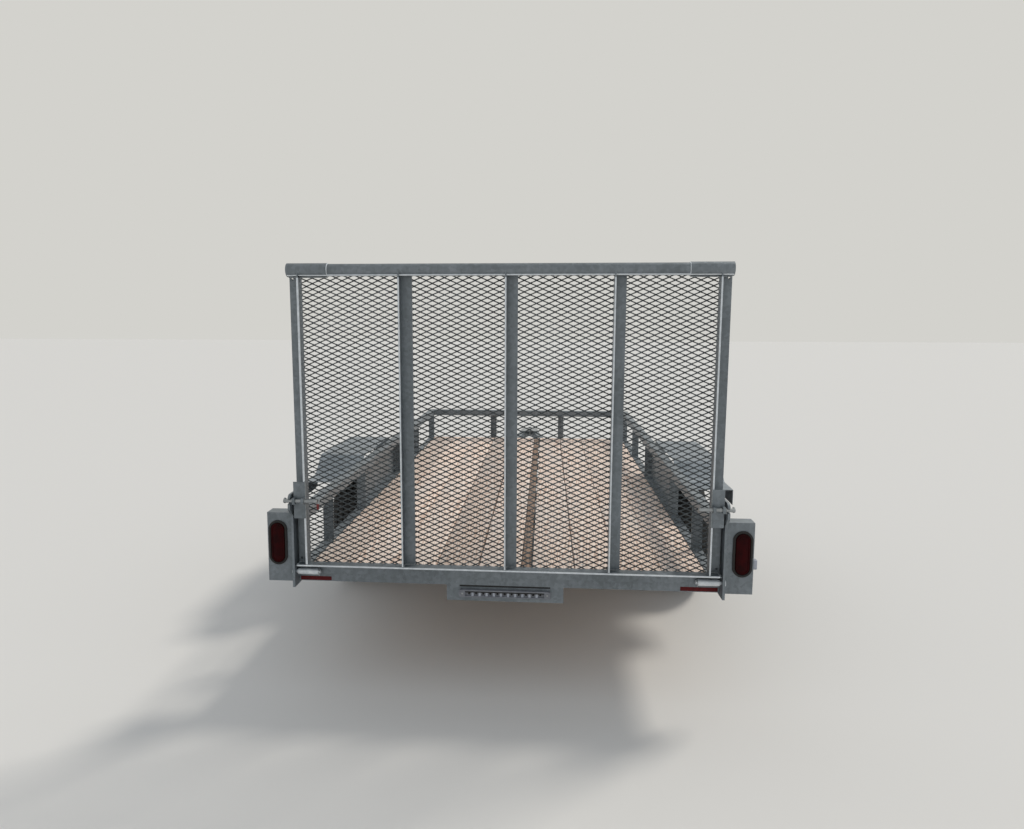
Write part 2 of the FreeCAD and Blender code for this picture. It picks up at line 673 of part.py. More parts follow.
def spring_clamp(x0, x1, tie_z):
    """A tie plate on the top leaf and two U-bolts that pull it down to the axle."""
    pieces = [box(x0 - TIE_OVERHANG, x1 + TIE_OVERHANG, AXLE_Y - TIE_HALF, AXLE_Y + TIE_HALF,
                  tie_z, tie_z + TIE_WALL)]
    leg = AXLE_DIAMETER / 2 + U_BOLT + BEAD_GAP
    end_z = tie_z + TIE_WALL + U_BOLT_END
    for x in (x0 - U_BOLT - U_BOLT_GAP, x1 + U_BOLT + U_BOLT_GAP):
        start, low_start = vec(x, AXLE_Y - leg, end_z), vec(x, AXLE_Y - leg, AXLE_Z)
        low_end, end = vec(x, AXLE_Y + leg, AXLE_Z), vec(x, AXLE_Y + leg, end_z)
        edges = [Part.LineSegment(start, low_start).toShape(),
                 Part.Arc(low_start, vec(x, AXLE_Y, AXLE_Z - leg), low_end).toShape(),
                 Part.LineSegment(low_end, end).toShape()]
        pieces.append(bent_rod(edges, U_BOLT))
    return fused(pieces)


def hinge_plates():
    """Upright plates that carry the hinge pins and catch the latch rods; each notch follows the rod's arc."""
    t0, t1 = HALF_BED, PLATE_OUTER
    head = HINGE_PLATE_TOP - LATCH_HEAD_HEIGHT
    plate = prism([(t0, y, z) for y, z in (
        (HINGE_PLATE_FRONT, HINGE_PLATE_BOTTOM), (HINGE_PLATE_FRONT, HINGE_PLATE_TOP),
        (-LATCH_HEAD_REAR, HINGE_PLATE_TOP), (-LATCH_HEAD_REAR, head + LATCH_HEAD_SLOPE),
        (-HINGE_PLATE_REAR, head), (-HINGE_PLATE_REAR, HINGE_PLATE_BOTTOM),
    )], (t1 - t0, 0, 0))
    upper = [e for e in plate.Edges if e.BoundBox.ZMin > HINGE_PLATE_TOP - PAST and e.BoundBox.YLength < PAST]
    plate = plate.makeFillet(HINGE_PLATE_CORNER, upper)

    reach = math.hypot(LATCH_ROD_Y - HINGE_Y, LATCH_Z - HINGE_Z)
    play = PIN_RADIUS + LATCH_CLEARANCE
    seat = turned(rod(play, (t0 - PAST, LATCH_ROD_Y, LATCH_Z), (t1 + PAST, LATCH_ROD_Y, LATCH_Z)),
                  (0, HINGE_Y, HINGE_Z), (1, 0, 0), GATE_LEAN)
    path = pipe(reach + play, reach - play, (t0 - PAST, HINGE_Y, HINGE_Z), (t1 + PAST, HINGE_Y, HINGE_Z))
    path = path.common(box(t0 - PAST, t1 + PAST, -LATCH_HEAD_REAR - PAST, seat.CenterOfMass.y,
                           head, HINGE_PLATE_TOP + PAST))
    hole = rod(PIN_RADIUS, (t0 - PAST, HINGE_Y, HINGE_Z), (t1 + PAST, HINGE_Y, HINGE_Z))
    add_pair("hinge_plate", plate.cut(seat).cut(path).cut(hole))

    pin = fused([
        rod(PIN_RADIUS, (SLEEVE_INNER_X - PIN_TAIL, HINGE_Y, HINGE_Z), (t1, HINGE_Y, HINGE_Z)),
        rod(PIN_HEAD, (t1, HINGE_Y, HINGE_Z), (t1 + PIN_HEAD_DEPTH, HINGE_Y, HINGE_Z)),
    ])
    add("hinge_pins", pin, mirrored(pin))


def lamps():
    rear, t = -LAMP_BOX_REAR, LAMP_BOX_WALL
    front = rear + LAMP_BOX_DEPTH
    shell = box(PLATE_OUTER, LAMP_BOX_OUTER_X, rear, front, FRAME_BOTTOM, LAMP_BOX_TOP)
    shell = shell.cut(box(PLATE_OUTER - PAST, LAMP_BOX_OUTER_X - t, rear + t, front + PAST,
                          FRAME_BOTTOM - PAST, LAMP_BOX_TOP - t))
    neck_w, neck_h = GROMMET_WIDTH - 2 * GROMMET_GROOVE, GROMMET_HEIGHT - 2 * GROMMET_GROOVE
    shell = shell.cut(stadium(neck_w, neck_h, LAMP_X, LAMP_Z, rear - PAST, rear + t + PAST))
    add_pair("lamp_box", shell)

    lens_rear = rear - GROMMET_RIM - LENS_PROUD
    floor = rear + GROMMET_DEPTH - GROMMET_FLOOR
    grommet = fused([
        stadium(GROMMET_WIDTH, GROMMET_HEIGHT, LAMP_X, LAMP_Z, rear - GROMMET_RIM, rear),
        stadium(neck_w, neck_h, LAMP_X, LAMP_Z, rear, rear + GROMMET_DEPTH),
    ])
    grommet = grommet.cut(stadium(LENS_WIDTH, LENS_HEIGHT, LAMP_X, LAMP_Z, lens_rear, floor))
    add("lamp_grommets", grommet, mirrored(grommet))
    lens = stadium(LENS_WIDTH, LENS_HEIGHT, LAMP_X, LAMP_Z, lens_rear, floor)
    add("lamp_lenses", lens, mirrored(lens))

    marker = rounded_bar(MARKER_WIDTH, MARKER_HEIGHT, MARKER_CORNER, MARKER_PROUD)
    marker = turned(marker, (0, 0, 0), (0, 0, 1), -90)
    add("side_marker", moved(marker, x=LAMP_BOX_OUTER_X, y=(rear + front) / 2, z=LAMP_BOX_TOP - MARKER_DROP))


def light_bar():
    """A bent plate under the rear sill, notched along its top, with the light bar on its rear face."""
    h, t = LIGHT_PLATE_HALF, LIGHT_PLATE_WALL
    plate = fused([
        box(-h, h, 0, t, FRAME_BOTTOM - LIGHT_PLATE_DROP, FRAME_BOTTOM),
        box(-h, h, t, LIGHT_PLATE_LEG, FRAME_BOTTOM - t, FRAME_BOTTOM),
    ])
    notch = box(-LIGHT_BAR_HALF, LIGHT_BAR_HALF, -PAST, t + PAST,
                FRAME_BOTTOM - LIGHT_PLATE_NOTCH, FRAME_BOTTOM + PAST)
    add("light_bar_plate", plate.cut(notch))
    bar = rounded_bar(2 * LIGHT_BAR_HALF, LIGHT_BAR_HEIGHT, LIGHT_BAR_CORNER, LIGHT_BAR_DEPTH)
    add("light_bar", moved(bar, y=-LIGHT_BAR_DEPTH, z=FRAME_BOTTOM - LIGHT_BAR_DROP))


def diamond(x, z, half_w, half_h, limit):
    """Outline of one mesh hole, cut off upright where it would pass the limit on its outer side."""
    side, u = math.copysign(1.0, x), abs(x)
    upper = [(u - half_w, 0.0)]
    if u < limit:
        upper.append((u, half_h))
    if u + half_w > limit:
        upper.append((limit, half_h * (1 - abs(limit - u) / half_w)))
    else:
        upper.append((u + half_w, 0.0))
    outline = upper + [(px, -pz) for px, pz in reversed(upper) if pz > 0]
    return Part.makePolygon([vec(side * px, -GATE_GAP, z + pz) for px, pz in outline + outline[:1]])


def mesh(z0, z1):
    """Expanded metal: one plate pierced by staggered diamond holes."""
    x_half = GATE_HALF - MESH_MARGIN
    limit = GATE_HALF - ANGLE_LEG / 2
    half_w = MESH_PITCH_X / 2 - MESH_STRAND_X
    half_h = MESH_PITCH_Z / 2 - MESH_STRAND_Z
    rows = int((z1 - z0 - 2 * half_h) / (MESH_PITCH_Z / 2))
    columns = int(limit / MESH_PITCH_X) + 1
    low = (z0 + z1 - rows * MESH_PITCH_Z / 2) / 2
    holes = []
    for row in range(rows + 1):
        for column in range(-columns, columns + 1):
            x = (column + 0.5 * (row % 2)) * MESH_PITCH_X
            if abs(x) - half_w < limit - MESH_SLIVER:
                holes.append(diamond(x, low + row * MESH_PITCH_Z / 2, half_w, half_h, limit))
    corners = [(-x_half, z0), (x_half, z0), (x_half, z1), (-x_half, z1), (-x_half, z0)]
    face = Part.Face([Part.makePolygon([vec(x, -GATE_GAP, z) for x, z in corners])] + holes)
    face.validate()
    return face.extrude(vec(0, MESH_THICKNESS, 0))


def upright(fin_x, bottom, tube_z, blank):
    """Angle that stands on the bottom angle: a flat leg against the mesh and a fin to the rear."""
    flat = box(fin_x, fin_x + ANGLE_LEG, FLAT_REAR, -GATE_GAP, bottom, tube_z)
    fin = box(fin_x, fin_x + ANGLE_WALL, FIN_REAR, FLAT_REAR, bottom, tube_z)
    return fused([flat, fin]).cut(blank)


def gate():
    pieces = {}
    tube_r = GATE_TUBE / 2
    tube_y = (-GATE_GAP + FIN_REAR) / 2
    tube_z = GATE_TOP - tube_r
    bottom_top = GATE_BOTTOM + ANGLE_LEG
    blank = rod(tube_r, (-GATE_HALF, tube_y, tube_z), (GATE_HALF, tube_y, tube_z))
    bore = rod(tube_r - GATE_TUBE_WALL, (-GATE_HALF - PAST, tube_y, tube_z), (GATE_HALF + PAST, tube_y, tube_z))
    pieces["gate_top_tube"] = [blank.cut(bore)]

    tab_z = GATE_BOTTOM - TAB_DROP
    pieces["gate_bottom_angle"] = [fused([
        box(-GATE_HALF, GATE_HALF, FLAT_REAR, -GATE_GAP, GATE_BOTTOM, bottom_top),
        box(-GATE_HALF, GATE_HALF, FIN_REAR, FLAT_REAR, bottom_top - ANGLE_WALL, bottom_top),
        box(TAB_LEFT, TAB_LEFT + TAB_WIDTH, FLAT_REAR - TAB_WALL, FLAT_REAR, tab_z, tab_z + TAB_HEIGHT),
    ])]

    # The sleeves wrap the tube's ends over the top and round the rear, and stop under the middle
    r, sleeve_x = tube_r + CORNER_SLEEVE_WALL, GATE_HALF - CORNER_SLEEVE_LENGTH
    sleeve = rod(r, (sleeve_x, tube_y, tube_z), (GATE_HALF, tube_y, tube_z)).cut(blank)
    sleeve = sleeve.common(fused([
        box(sleeve_x, GATE_HALF, tube_y - r, FLAT_REAR, tube_z, tube_z + r),
        box(sleeve_x, GATE_HALF, tube_y - r, tube_y, tube_z - r, tube_z),
    ]))
    pieces["gate_corner_sleeves"] = [sleeve, mirrored(sleeve)]

    side = upright(GATE_HALF - ANGLE_LEG, bottom_top, tube_z, blank).cut(sleeve)
    for z in (bottom_top + VENT_BOTTOM, tube_z - VENT_TOP):
        vent_x = GATE_HALF - VENT_INSET
        side = side.cut(rod(VENT_RADIUS, (vent_x, FLAT_REAR - PAST, z), (vent_x, -GATE_GAP + PAST, z)))
    pieces["gate_side_right"] = [side]
    pieces["gate_side_left"] = [mirrored(side)]
    pieces["gate_bars"] = [upright(x, bottom_top, tube_z, blank) for x in (-BAR_SPACING, 0.0, BAR_SPACING)]
    pieces["gate_mesh"] = [mesh(bottom_top - MESH_LAP, tube_z - tube_r + MESH_THICKNESS)]

    hinge = pipe(SLEEVE_RADIUS, PIN_RADIUS + PIN_CLEARANCE, (SLEEVE_INNER_X, HINGE_Y, HINGE_Z),
                 (GATE_HALF, HINGE_Y, HINGE_Z))
    pieces["gate_hinge_sleeves"] = [hinge, mirrored(hinge)]

    x1 = GATE_HALF - LATCH_PLATE_INSET
    x0 = x1 - LATCH_PLATE_WIDTH
    g = LATCH_GUIDE / 2
    keeper = [box(x0, x1, LATCH_PLATE_REAR, FIN_REAR, LATCH_Z - LATCH_PLATE_HEIGHT / 2,
                  LATCH_Z + LATCH_PLATE_HEIGHT / 2)]
    for x in (x0, x1 - LATCH_GUIDE_WIDTH):
        keeper.append(box(x, x + LATCH_GUIDE_WIDTH, LATCH_ROD_Y - g, LATCH_PLATE_REAR, LATCH_Z - g, LATCH_Z + g))
    keeper = fused(keeper).cut(rod(PIN_RADIUS, (x0 - PAST, LATCH_ROD_Y, LATCH_Z), (x1 + PAST, LATCH_ROD_Y, LATCH_Z)))
    pieces["latch_plates"] = [keeper, mirrored(keeper)]
    latch = rod(PIN_RADIUS, (LATCH_ROD_OUTER - LATCH_ROD_LENGTH, LATCH_ROD_Y, LATCH_Z),
                (LATCH_ROD_OUTER, LATCH_ROD_Y, LATCH_Z))
    pieces["latch_rods"] = [latch, mirrored(latch)]

    for name, shapes in pieces.items():
        add(name, *[turned(s, (0, HINGE_Y, HINGE_Z), (1, 0, 0), GATE_LEAN) for s in shapes])


def tongue_x(y):
    """Centre line of the right-hand drawbar member at a place along the trailer."""
    return TONGUE_NOSE_X + (TONGUE_FRONT - y) * TONGUE_SLOPE


def drawbar():
    spare = TONGUE_WIDTH
    length = (TONGUE_FRONT - TONGUE_TAIL) / math.cos(math.radians(TONGUE_ANGLE)) + 2 * spare
    member = hollow_bar(TONGUE_WIDTH, TONGUE_DEPTH, TONGUE_WALL, TONGUE_CORNER, length)
    member = moved(member, y=-spare, z=TONGUE_TOP - TONGUE_DEPTH / 2)
    member = turned(member, (0, 0, 0), (0, 0, 1), TONGUE_ANGLE)
    member = moved(member, x=tongue_x(TONGUE_TAIL), y=TONGUE_TAIL)
    member = member.common(box(-HALF_BED, HALF_BED, TONGUE_TAIL, TONGUE_FRONT, 0, TONGUE_TOP))
    add_pair("tongue", member)


def wedge(extra, y0, y1, z0, z1):
    """Solid between the outer faces of the two drawbar members, wider by extra on each side."""
    a, b = tongue_x(y0) + TONGUE_HALF_WIDTH + extra, tongue_x(y1) + TONGUE_HALF_WIDTH + extra
    return prism([(-a, y0, z0), (a, y0, z0), (b, y1, z0), (-b, y1, z0)], (0, 0, z1 - z0))


def coupler():
    """Pressed cover over the drawbar's nose, tapering to the dome over the ball, and its latch lever."""
    t = COUPLER_WALL
    low, high = TONGUE_TOP - TONGUE_DEPTH, TONGUE_TOP
    cover = wedge(t, COUPLER_REAR, TONGUE_FRONT + t, high - COUPLER_SKIRT, high + t).cut(
        wedge(0, COUPLER_REAR - PAST, TONGUE_FRONT, low, high))
    nose_half = tongue_x(TONGUE_FRONT) + TONGUE_HALF_WIDTH + t
    bore = BALL_RADIUS + BALL_CLEARANCE
    dome_r = bore + DOME_WALL
    mouth = BALL_Z - SOCKET_SKIRT
    lid = BALL_Z + dome_r - NOSE_DROP

    def nose(inset, back, z0, z1):
        y = TONGUE_FRONT + back
        return prism([(-nose_half + inset, y, z0), (nose_half - inset, y, z0), (dome_r - inset, BALL_Y, z0),
                      (-dome_r + inset, BALL_Y, z0)], (0, 0, z1 - z0))

    dome = Part.makeSphere(dome_r, vec(0, BALL_Y, BALL_Z)).cut(
        box(-dome_r, dome_r, BALL_Y - dome_r, BALL_Y + dome_r, BALL_Z - dome_r - PAST, mouth))
    shell = nose(0, t, mouth, lid).cut(nose(t, 0, mouth - PAST, lid - t))
    body = fused([cover, shell, dome, rod(dome_r, (0, BALL_Y, mouth), (0, BALL_Y, BALL_Z))])
    body = body.cut(Part.makeSphere(bore, vec(0, BALL_Y, BALL_Z)))
    body = body.cut(rod(bore, (0, BALL_Y, mouth - PAST), (0, BALL_Y, BALL_Z)))
    add("coupler", body)

    front = BALL_Y - LATCH_LEVER_SETBACK
    rear = front - LATCH_LEVER
    x = -LATCH_LEVER_WIDTH / 2
    add("coupler_latch", prism([
        (x, rear, lid), (x, front, lid), (x, front, lid + LATCH_LEVER_FRONT),
        (x, rear + LATCH_LEVER_FRONT, lid + LATCH_LEVER_RISE), (x, rear, lid + LATCH_LEVER_RISE),
    ], (LATCH_LEVER_WIDTH, 0, 0)))


def jack():
    """Drawn beside a face that looks along -X, then turned to lie flat on the left-hand member."""
    face = -(tongue_x(JACK_Y) + TONGUE_HALF_WIDTH)
    x, y, z = face - JACK_OFFSET, JACK_Y, JACK_PIVOT_Z

    def add_turned(name, shape):
        add(name, turned(shape, (face, y, 0), (0, 0, 1), -TONGUE_ANGLE))

    bore = JACK_TUBE_RADIUS - JACK_TUBE_WALL
    foot_of_tube = z - JACK_TUBE_BELOW
    near = x + JACK_TUBE_RADIUS
    swivel = near + SWIVEL_DEPTH
    body = pipe(JACK_TUBE_RADIUS, bore, (x, y, foot_of_tube), (x, y, JACK_TOP))
    cap = rod(JACK_TUBE_RADIUS, (x, y, JACK_TOP), (x, y, JACK_TOP + JACK_CAP))
    flange = rod(SWIVEL_RADIUS, (near - SWIVEL_DEPTH, y, z), (swivel, y, z))
    flange = flange.cut(rod(bore, (x, y, foot_of_tube), (x, y, JACK_TOP)))
    socket = rod(SWIVEL_PIN + PIN_CLEARANCE, (near, y, z), (swivel, y, z))
    add_turned("jack_tube", fused([body, cap, flange]).cut(socket))

    top = JACK_TOP + JACK_CAP
    arm_z, grip_y = top + CRANK_HEIGHT, y + CRANK_ARM
    grip_top = arm_z + CRANK_GRIP_TOP
    line = [(y, top), (y, arm_z), (grip_y, arm_z), (grip_y, grip_top)]
    bar = moved(bent_rod(bent_line(line, CRANK_BEND), CRANK_RADIUS), x=x)
    grip = rod(CRANK_GRIP_RADIUS, (x, grip_y, arm_z + CRANK_GRIP_BOTTOM), (x, grip_y, grip_top + CRANK_RADIUS))
    add_turned("jack_crank", fused([bar, grip]))

    leg = bore - JACK_LEG_CLEARANCE
    add_turned("jack_leg", pipe(leg, leg - JACK_LEG_WALL, (x, y, FOOT_WALL), (x, y, JACK_LEG_TOP)))
    add_turned("jack_foot", rod(FOOT_RADIUS, (x, y, 0), (x, y, FOOT_WALL)))

    plate = face - JACK_PLATE_WALL
    add_turned("jack_mount", fused([
        box(plate, face, y - JACK_PLATE_HALF, y + JACK_PLATE_HALF, TONGUE_TOP - TONGUE_DEPTH, TONGUE_TOP),
        rod(SWIVEL_STUB, (swivel + SWIVEL_GAP, y, z), (plate, y, z)),
        rod(SWIVEL_PIN, (near + SWIVEL_GAP, y, z), (swivel + SWIVEL_GAP, y, z)),
    ]))


bed_frame()
deck()
rails()
fenders()
wheels()
running_gear()
hinge_plates()
lamps()
light_bar()
gate()
drawbar()
coupler()
jack()

# The origin is on the ground, halfway along the trailer
everything = Part.Compound([s for solids in parts.values() for s in solids])
bounds = everything.optimalBoundingBox(True, False)
shift = -(bounds.YMin + bounds.YMax) / 2
os.makedirs("parts", exist_ok=True)
for name, solids in parts.items():
    shape = solids[0] if len(solids) == 1 else Part.Compound(solids)
    moved(shape, y=shift).exportStep("parts/" + name + ".step")
print("pieces", len(parts), "solids", sum(len(s) for s in parts.values()))
print("shift along Y", round(shift, 3))
print("size", round(bounds.XLength, 1), round(bounds.YLength, 1), round(bounds.ZLength, 1))
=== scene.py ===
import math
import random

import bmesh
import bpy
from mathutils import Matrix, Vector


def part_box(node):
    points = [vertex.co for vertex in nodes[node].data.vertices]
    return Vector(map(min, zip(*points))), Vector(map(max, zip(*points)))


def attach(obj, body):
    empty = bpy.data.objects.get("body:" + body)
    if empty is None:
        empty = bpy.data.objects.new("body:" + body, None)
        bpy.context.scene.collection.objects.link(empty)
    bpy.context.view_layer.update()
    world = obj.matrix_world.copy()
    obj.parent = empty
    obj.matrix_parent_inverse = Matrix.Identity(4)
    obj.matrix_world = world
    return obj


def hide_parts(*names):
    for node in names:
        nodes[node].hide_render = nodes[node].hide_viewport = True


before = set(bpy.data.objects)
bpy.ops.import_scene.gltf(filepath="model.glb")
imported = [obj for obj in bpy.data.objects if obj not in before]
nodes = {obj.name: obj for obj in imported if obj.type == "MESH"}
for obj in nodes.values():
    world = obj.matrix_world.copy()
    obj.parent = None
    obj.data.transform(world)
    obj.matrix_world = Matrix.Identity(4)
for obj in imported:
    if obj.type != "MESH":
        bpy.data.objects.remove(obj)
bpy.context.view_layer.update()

# %% [markdown]
# A galvanised utility trailer with a raised mesh ramp gate. The steel frame, the running gear and
# everything that moves arrive as finished solids. This script dresses them: it gives every surface
# its material, and models what is too fine for the solids, such as the expanded metal, the tread,
# the nuts, the welds and the lamps. Metres throughout, X to the right as seen from behind, Y
# forward, Z up.

MM = 0.001
BED_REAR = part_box("rear_sill")[0].y
random.seed(7)


def at(x, y, z):
    """A place in bed millimetres: right of the middle, forward of the rear sill, above the ground."""
    return Vector((x * MM, BED_REAR + y * MM, z * MM))


print("the rear sill stands at", round(BED_REAR, 4), "m along Y")

# %% [markdown]
# The camera stands a little over three metres behind the gate, at eye height, slightly right of
# the middle, and looks a few degrees left and down. A photograph is matched by solving for the
# camera from points of known size on the object; here the gate's corners, the sill and the front
# rail gave the place, the angles and the focal length, and the small shift says that the picture
# was cropped off centre.

# %% Camera
CAMERA_PLACE = Vector((0.169, -5.511, 1.633))
CAMERA_YAW, CAMERA_PITCH, CAMERA_ROLL = (math.radians(angle) for angle in (4.470, 6.768, 0.118))
SENSOR_WIDTH, FOCAL_LENGTH = 36.0, 25.65
SHIFT_X, SHIFT_Y = 0.0225, -0.0055
VIEW_END = 200.0
camera_data = bpy.data.cameras.new("camera")
camera_data.sensor_width = SENSOR_WIDTH
camera_data.lens = FOCAL_LENGTH
camera_data.shift_x = SHIFT_X
camera_data.shift_y = SHIFT_Y
camera_data.clip_end = VIEW_END
camera = bpy.data.objects.new("camera", camera_data)
bpy.context.scene.collection.objects.link(camera)
camera.matrix_world = (
    Matrix.Translation(CAMERA_PLACE) @ Matrix.Rotation(CAMERA_YAW, 4, "Z")
    @ Matrix.Rotation(math.pi / 2 - CAMERA_PITCH, 4, "X") @ Matrix.Rotation(CAMERA_ROLL, 4, "Z"))
bpy.context.scene.camera = camera
print("camera", round(CAMERA_PLACE.length, 3), "m from the trailer's middle, lens", FOCAL_LENGTH, "mm")

# %% [markdown]
# Colours are written as sRGB hex, the way a paint or a picture gives them, and a shader works in
# linear light, so one function turns the one into the other. A second small function adds a node:
# its settings come as keywords, its sockets as a table of values or links, and a colour ramp's
# stops as places with their colours. That keeps every material below a short list of steps.

# %% Colour and node helpers
def linear(hex_colour):
    """sRGB hex to a linear colour with alpha."""
    parts = [int(hex_colour[i:i + 2], 16) / 255 for i in (1, 3, 5)]
    return [c / 12.92 if c <= 0.04045 else ((c + 0.055) / 1.055) ** 2.4 for c in parts] + [1.0]


def node(tree, kind, sockets, stops=(), **settings):
    """Adds a shader node; sockets maps names or numbers to values or to other nodes' outputs."""
    made = tree.nodes.new("ShaderNode" + kind)
    for name, value in settings.items():
        setattr(made, name, value)
    for name, value in sockets.items():
        if isinstance(value, bpy.types.NodeSocket):
            tree.links.new(value, made.inputs[name])
        else:
            made.inputs[name].default_value = value
    for i, (place, hex_colour) in enumerate(stops):
        elements = made.color_ramp.elements
        element = elements[i] if i < len(elements) else elements.new(place)
        element.position = place
        element.color = linear(hex_colour)
    return made


def new_material(name, **values):
    """A material with one Principled shader; values go on its own sockets."""
    made = bpy.data.materials.new(name)
    made.use_nodes = True
    tree = made.node_tree
    tree.nodes.clear()
    shader = node(tree, "BsdfPrincipled", {k.replace("_", " "): v for k, v in values.items()})
    node(tree, "OutputMaterial", {"Surface": shader.outputs[0]})
    place = node(tree, "TexCoord", {}).outputs["Object"]
    return made, tree, shader, place


def finish(tree, shader, place, tone, gloss, feel):
    """Gives a shader its tone, its gloss, and a relief of a size, detail, strength and height."""
    size, detail, strength, height = feel
    fine = node(tree, "TexNoise", {"Vector": place, "Scale": 1 / size, "Detail": detail})
    bump = node(tree, "Bump", {"Height": fine.outputs["Fac"], "Strength": strength, "Distance": height})
    for socket, source in (("Base Color", tone), ("Roughness", gloss), ("Normal", bump)):
        tree.links.new(source.outputs[0], shader.inputs[socket])


print("colour #808080 in linear light:", [round(c, 3) for c in linear("#808080")])

# %% [markdown]
# Hot-dip galvanised steel. The bare frame is dipped in molten zinc, which freezes into crystals,
# the spangle, some 10 to 20 mm across, each with its own grey. On a weathered trailer the zinc has
# dulled to a smooth mid grey, so the crystals are only a faint change of tone; clouds of a hand's
# width and thin vertical runs show more. A Voronoi cell pattern draws the crystals, because each
# cell holds one random value, and two noises give the clouds and the runs. Their sum drives the
# roughness too, so that paler patches are also duller.

# %% Galvanised steel
SPANGLE, CLOUD, RUN = 13 * MM, 260 * MM, 24 * MM
SPANGLE_SHARE, CLOUD_SHARE, RUN_SHARE = 0.16, 0.52, 0.32
RUN_STRETCH = 0.10
ZINC_FEEL = (5 * MM, 3.0, 0.10, 0.5 * MM)


def galvanised(name, tones, metallic, rough):
    """Zinc from its dark, middle and pale tone."""
    made, tree, shader, place = new_material(name, Metallic=metallic)
    cells = node(tree, "TexVoronoi", {"Vector": place, "Scale": 1 / SPANGLE, "Randomness": 1.0})
    grain = node(tree, "SeparateColor", {"Color": cells.outputs["Color"]}).outputs["Red"]
    cloud = node(tree, "TexNoise", {"Vector": place, "Scale": 1 / CLOUD, "Detail": 5.0, "Roughness": 0.6})
    stretch = node(tree, "Mapping", {"Vector": place, "Scale": (1.0, 1.0, RUN_STRETCH)})
    streak = node(tree, "TexNoise", {"Vector": stretch.outputs[0], "Scale": 1 / RUN, "Detail": 3.0})
    total = node(tree, "Math", {0: grain, 1: SPANGLE_SHARE}, operation="MULTIPLY")
    for pattern, share in ((cloud, CLOUD_SHARE), (streak, RUN_SHARE)):
        total = node(tree, "Math", {0: pattern.outputs["Fac"], 1: share, 2: total.outputs[0]},
                     operation="MULTIPLY_ADD")
    tone = node(tree, "ValToRGB", {"Fac": total.outputs[0]}, stops=list(zip((0.34, 0.50, 0.70), tones)))
    gloss = node(tree, "MapRange", {"Value": total.outputs[0], "From Min": 0.30, "From Max": 0.75,
                                    "To Min": rough - 0.08, "To Max": rough + 0.10})
    finish(tree, shader, place, tone, gloss, ZINC_FEEL)
    return made


# The frame's tones are weathered zinc, made darker still by painted shade for faces that stand in open shade.
zinc_frame_with_painted_shade = galvanised("hot_dip_galvanised_frame_with_painted_shade", ("#666d71", "#757c81", "#878e93"), 0.50, 0.48)
zinc_sheet = galvanised("galvanised_fender_sheet", ("#757d83", "#889097", "#9ba2a8"), 0.60, 0.42)
# The mesh's tones are far darker than the frame's zinc: painted shade for strands that stand in open shade.
mesh_zinc_with_painted_shade = galvanised("galvanised_expanded_metal_with_painted_shade", ("#33383b", "#464c4f", "#666c6f"), 0.45, 0.52)
print("galvanised steels:", [m.name for m in (zinc_frame_with_painted_shade, zinc_sheet, mesh_zinc_with_painted_shade)])

# %% [markdown]
# Bright zinc plate, on pins, latch, coupler and jack. Electroplated parts are smoother and a touch
# warmer, with no crystals, and they scratch where they slide. One noise in the tone and the
# roughness is enough. The same recipe, in other colours, gives the painted highlight along free
# edges, the sprayed enamel of the wheels, the black chassis enamel and the dull silver of a welded seam.

# %% Plated and painted metals
def plain_metal(name, tones, metallic, rough, spread, size, relief):
    """Metal or enamel whose tone and gloss wander with one noise of the given size."""
    made, tree, shader, place = new_material(name, Metallic=metallic)
    patch = node(tree, "TexNoise", {"Vector": place, "Scale": 1 / size, "Detail": 5.0, "Roughness": 0.62})
    tone = node(tree, "ValToRGB", {"Fac": patch.outputs["Fac"]}, stops=list(zip((0.30, 0.68), tones)))
    gloss = node(tree, "MapRange", {"Value": patch.outputs["Fac"], "From Min": 0.3, "From Max": 0.7,
                                    "To Min": rough - spread, "To Max": rough + spread})
    finish(tree, shader, place, tone, gloss, (2.5 * MM, 2.0, 0.15, relief))
    return made


plated = plain_metal("bright_zinc_plate", ("#85898b", "#aeb2b4"), 0.75, 0.36, 0.08, 60 * MM, 0.1 * MM)
# The pale edge zinc paints highlights along the gate's free edges; the hinge pins and sleeves share it.
pale_zinc_and_painted_highlight = plain_metal("pale_zinc_and_painted_edge_highlight", ("#c0c6ca", "#e2e6e8"), 0.25, 0.40, 0.06, 25 * MM, 0.2 * MM)
silver_enamel = plain_metal("silver_wheel_enamel", ("#94979a", "#aeb1b3"), 0.45, 0.36, 0.06, 90 * MM,
                            0.1 * MM)
black_enamel = plain_metal("black_chassis_enamel", ("#101112", "#212324"), 0.0, 0.42, 0.10, 80 * MM, 0.3 * MM)
weld_steel = plain_metal("galvanised_weld_bead", ("#7b8286", "#b2b7b9"), 0.60, 0.42, 0.10, 9 * MM, 0.4 * MM)
print("plated and painted:", [m.name for m in (plated, pale_zinc_and_painted_highlight, silver_enamel, black_enamel, weld_steel)])

# %% [markdown]
# Pressure-treated pine. Flat-sawn planks show long bands of early and late wood, wavy where the
# saw ran across a ring, and small knots. A sine of the place across the plank, bent by a slow
# noise along it, draws the bands; a fine stretched noise adds the fibres. Each plank gets its own
# place in the pattern from its UV map, in metres along and across, so no two planks match, and its
# own tone from a cell noise on the same map. The wood has weathered to a pinkish tan that fades to
# grey in places. The patterns are written as how many fit in a metre, along and across the plank:
# a ring wanders once in 770 by 140 mm, a fibre takes 140 by 3 mm, which is coarser than real ones
# so that it shows, a grey patch takes 710 by 170 mm, and there is one knot in 480 by 190 mm.

# %% Timber
PLANK_STEP = 3.0
WANDERS, FIBRES, PATCHES, KNOTS = (1.3, 7.0, 1.0), (7.0, 330.0, 1.0), (1.4, 6.0, 1.0), (2.1, 5.2, 1.0)
WANDER_REACH = 0.16
RING_SHARE, FIBRE_SHARE = 0.34, 0.62
KNOT_BROWN = "#553729"


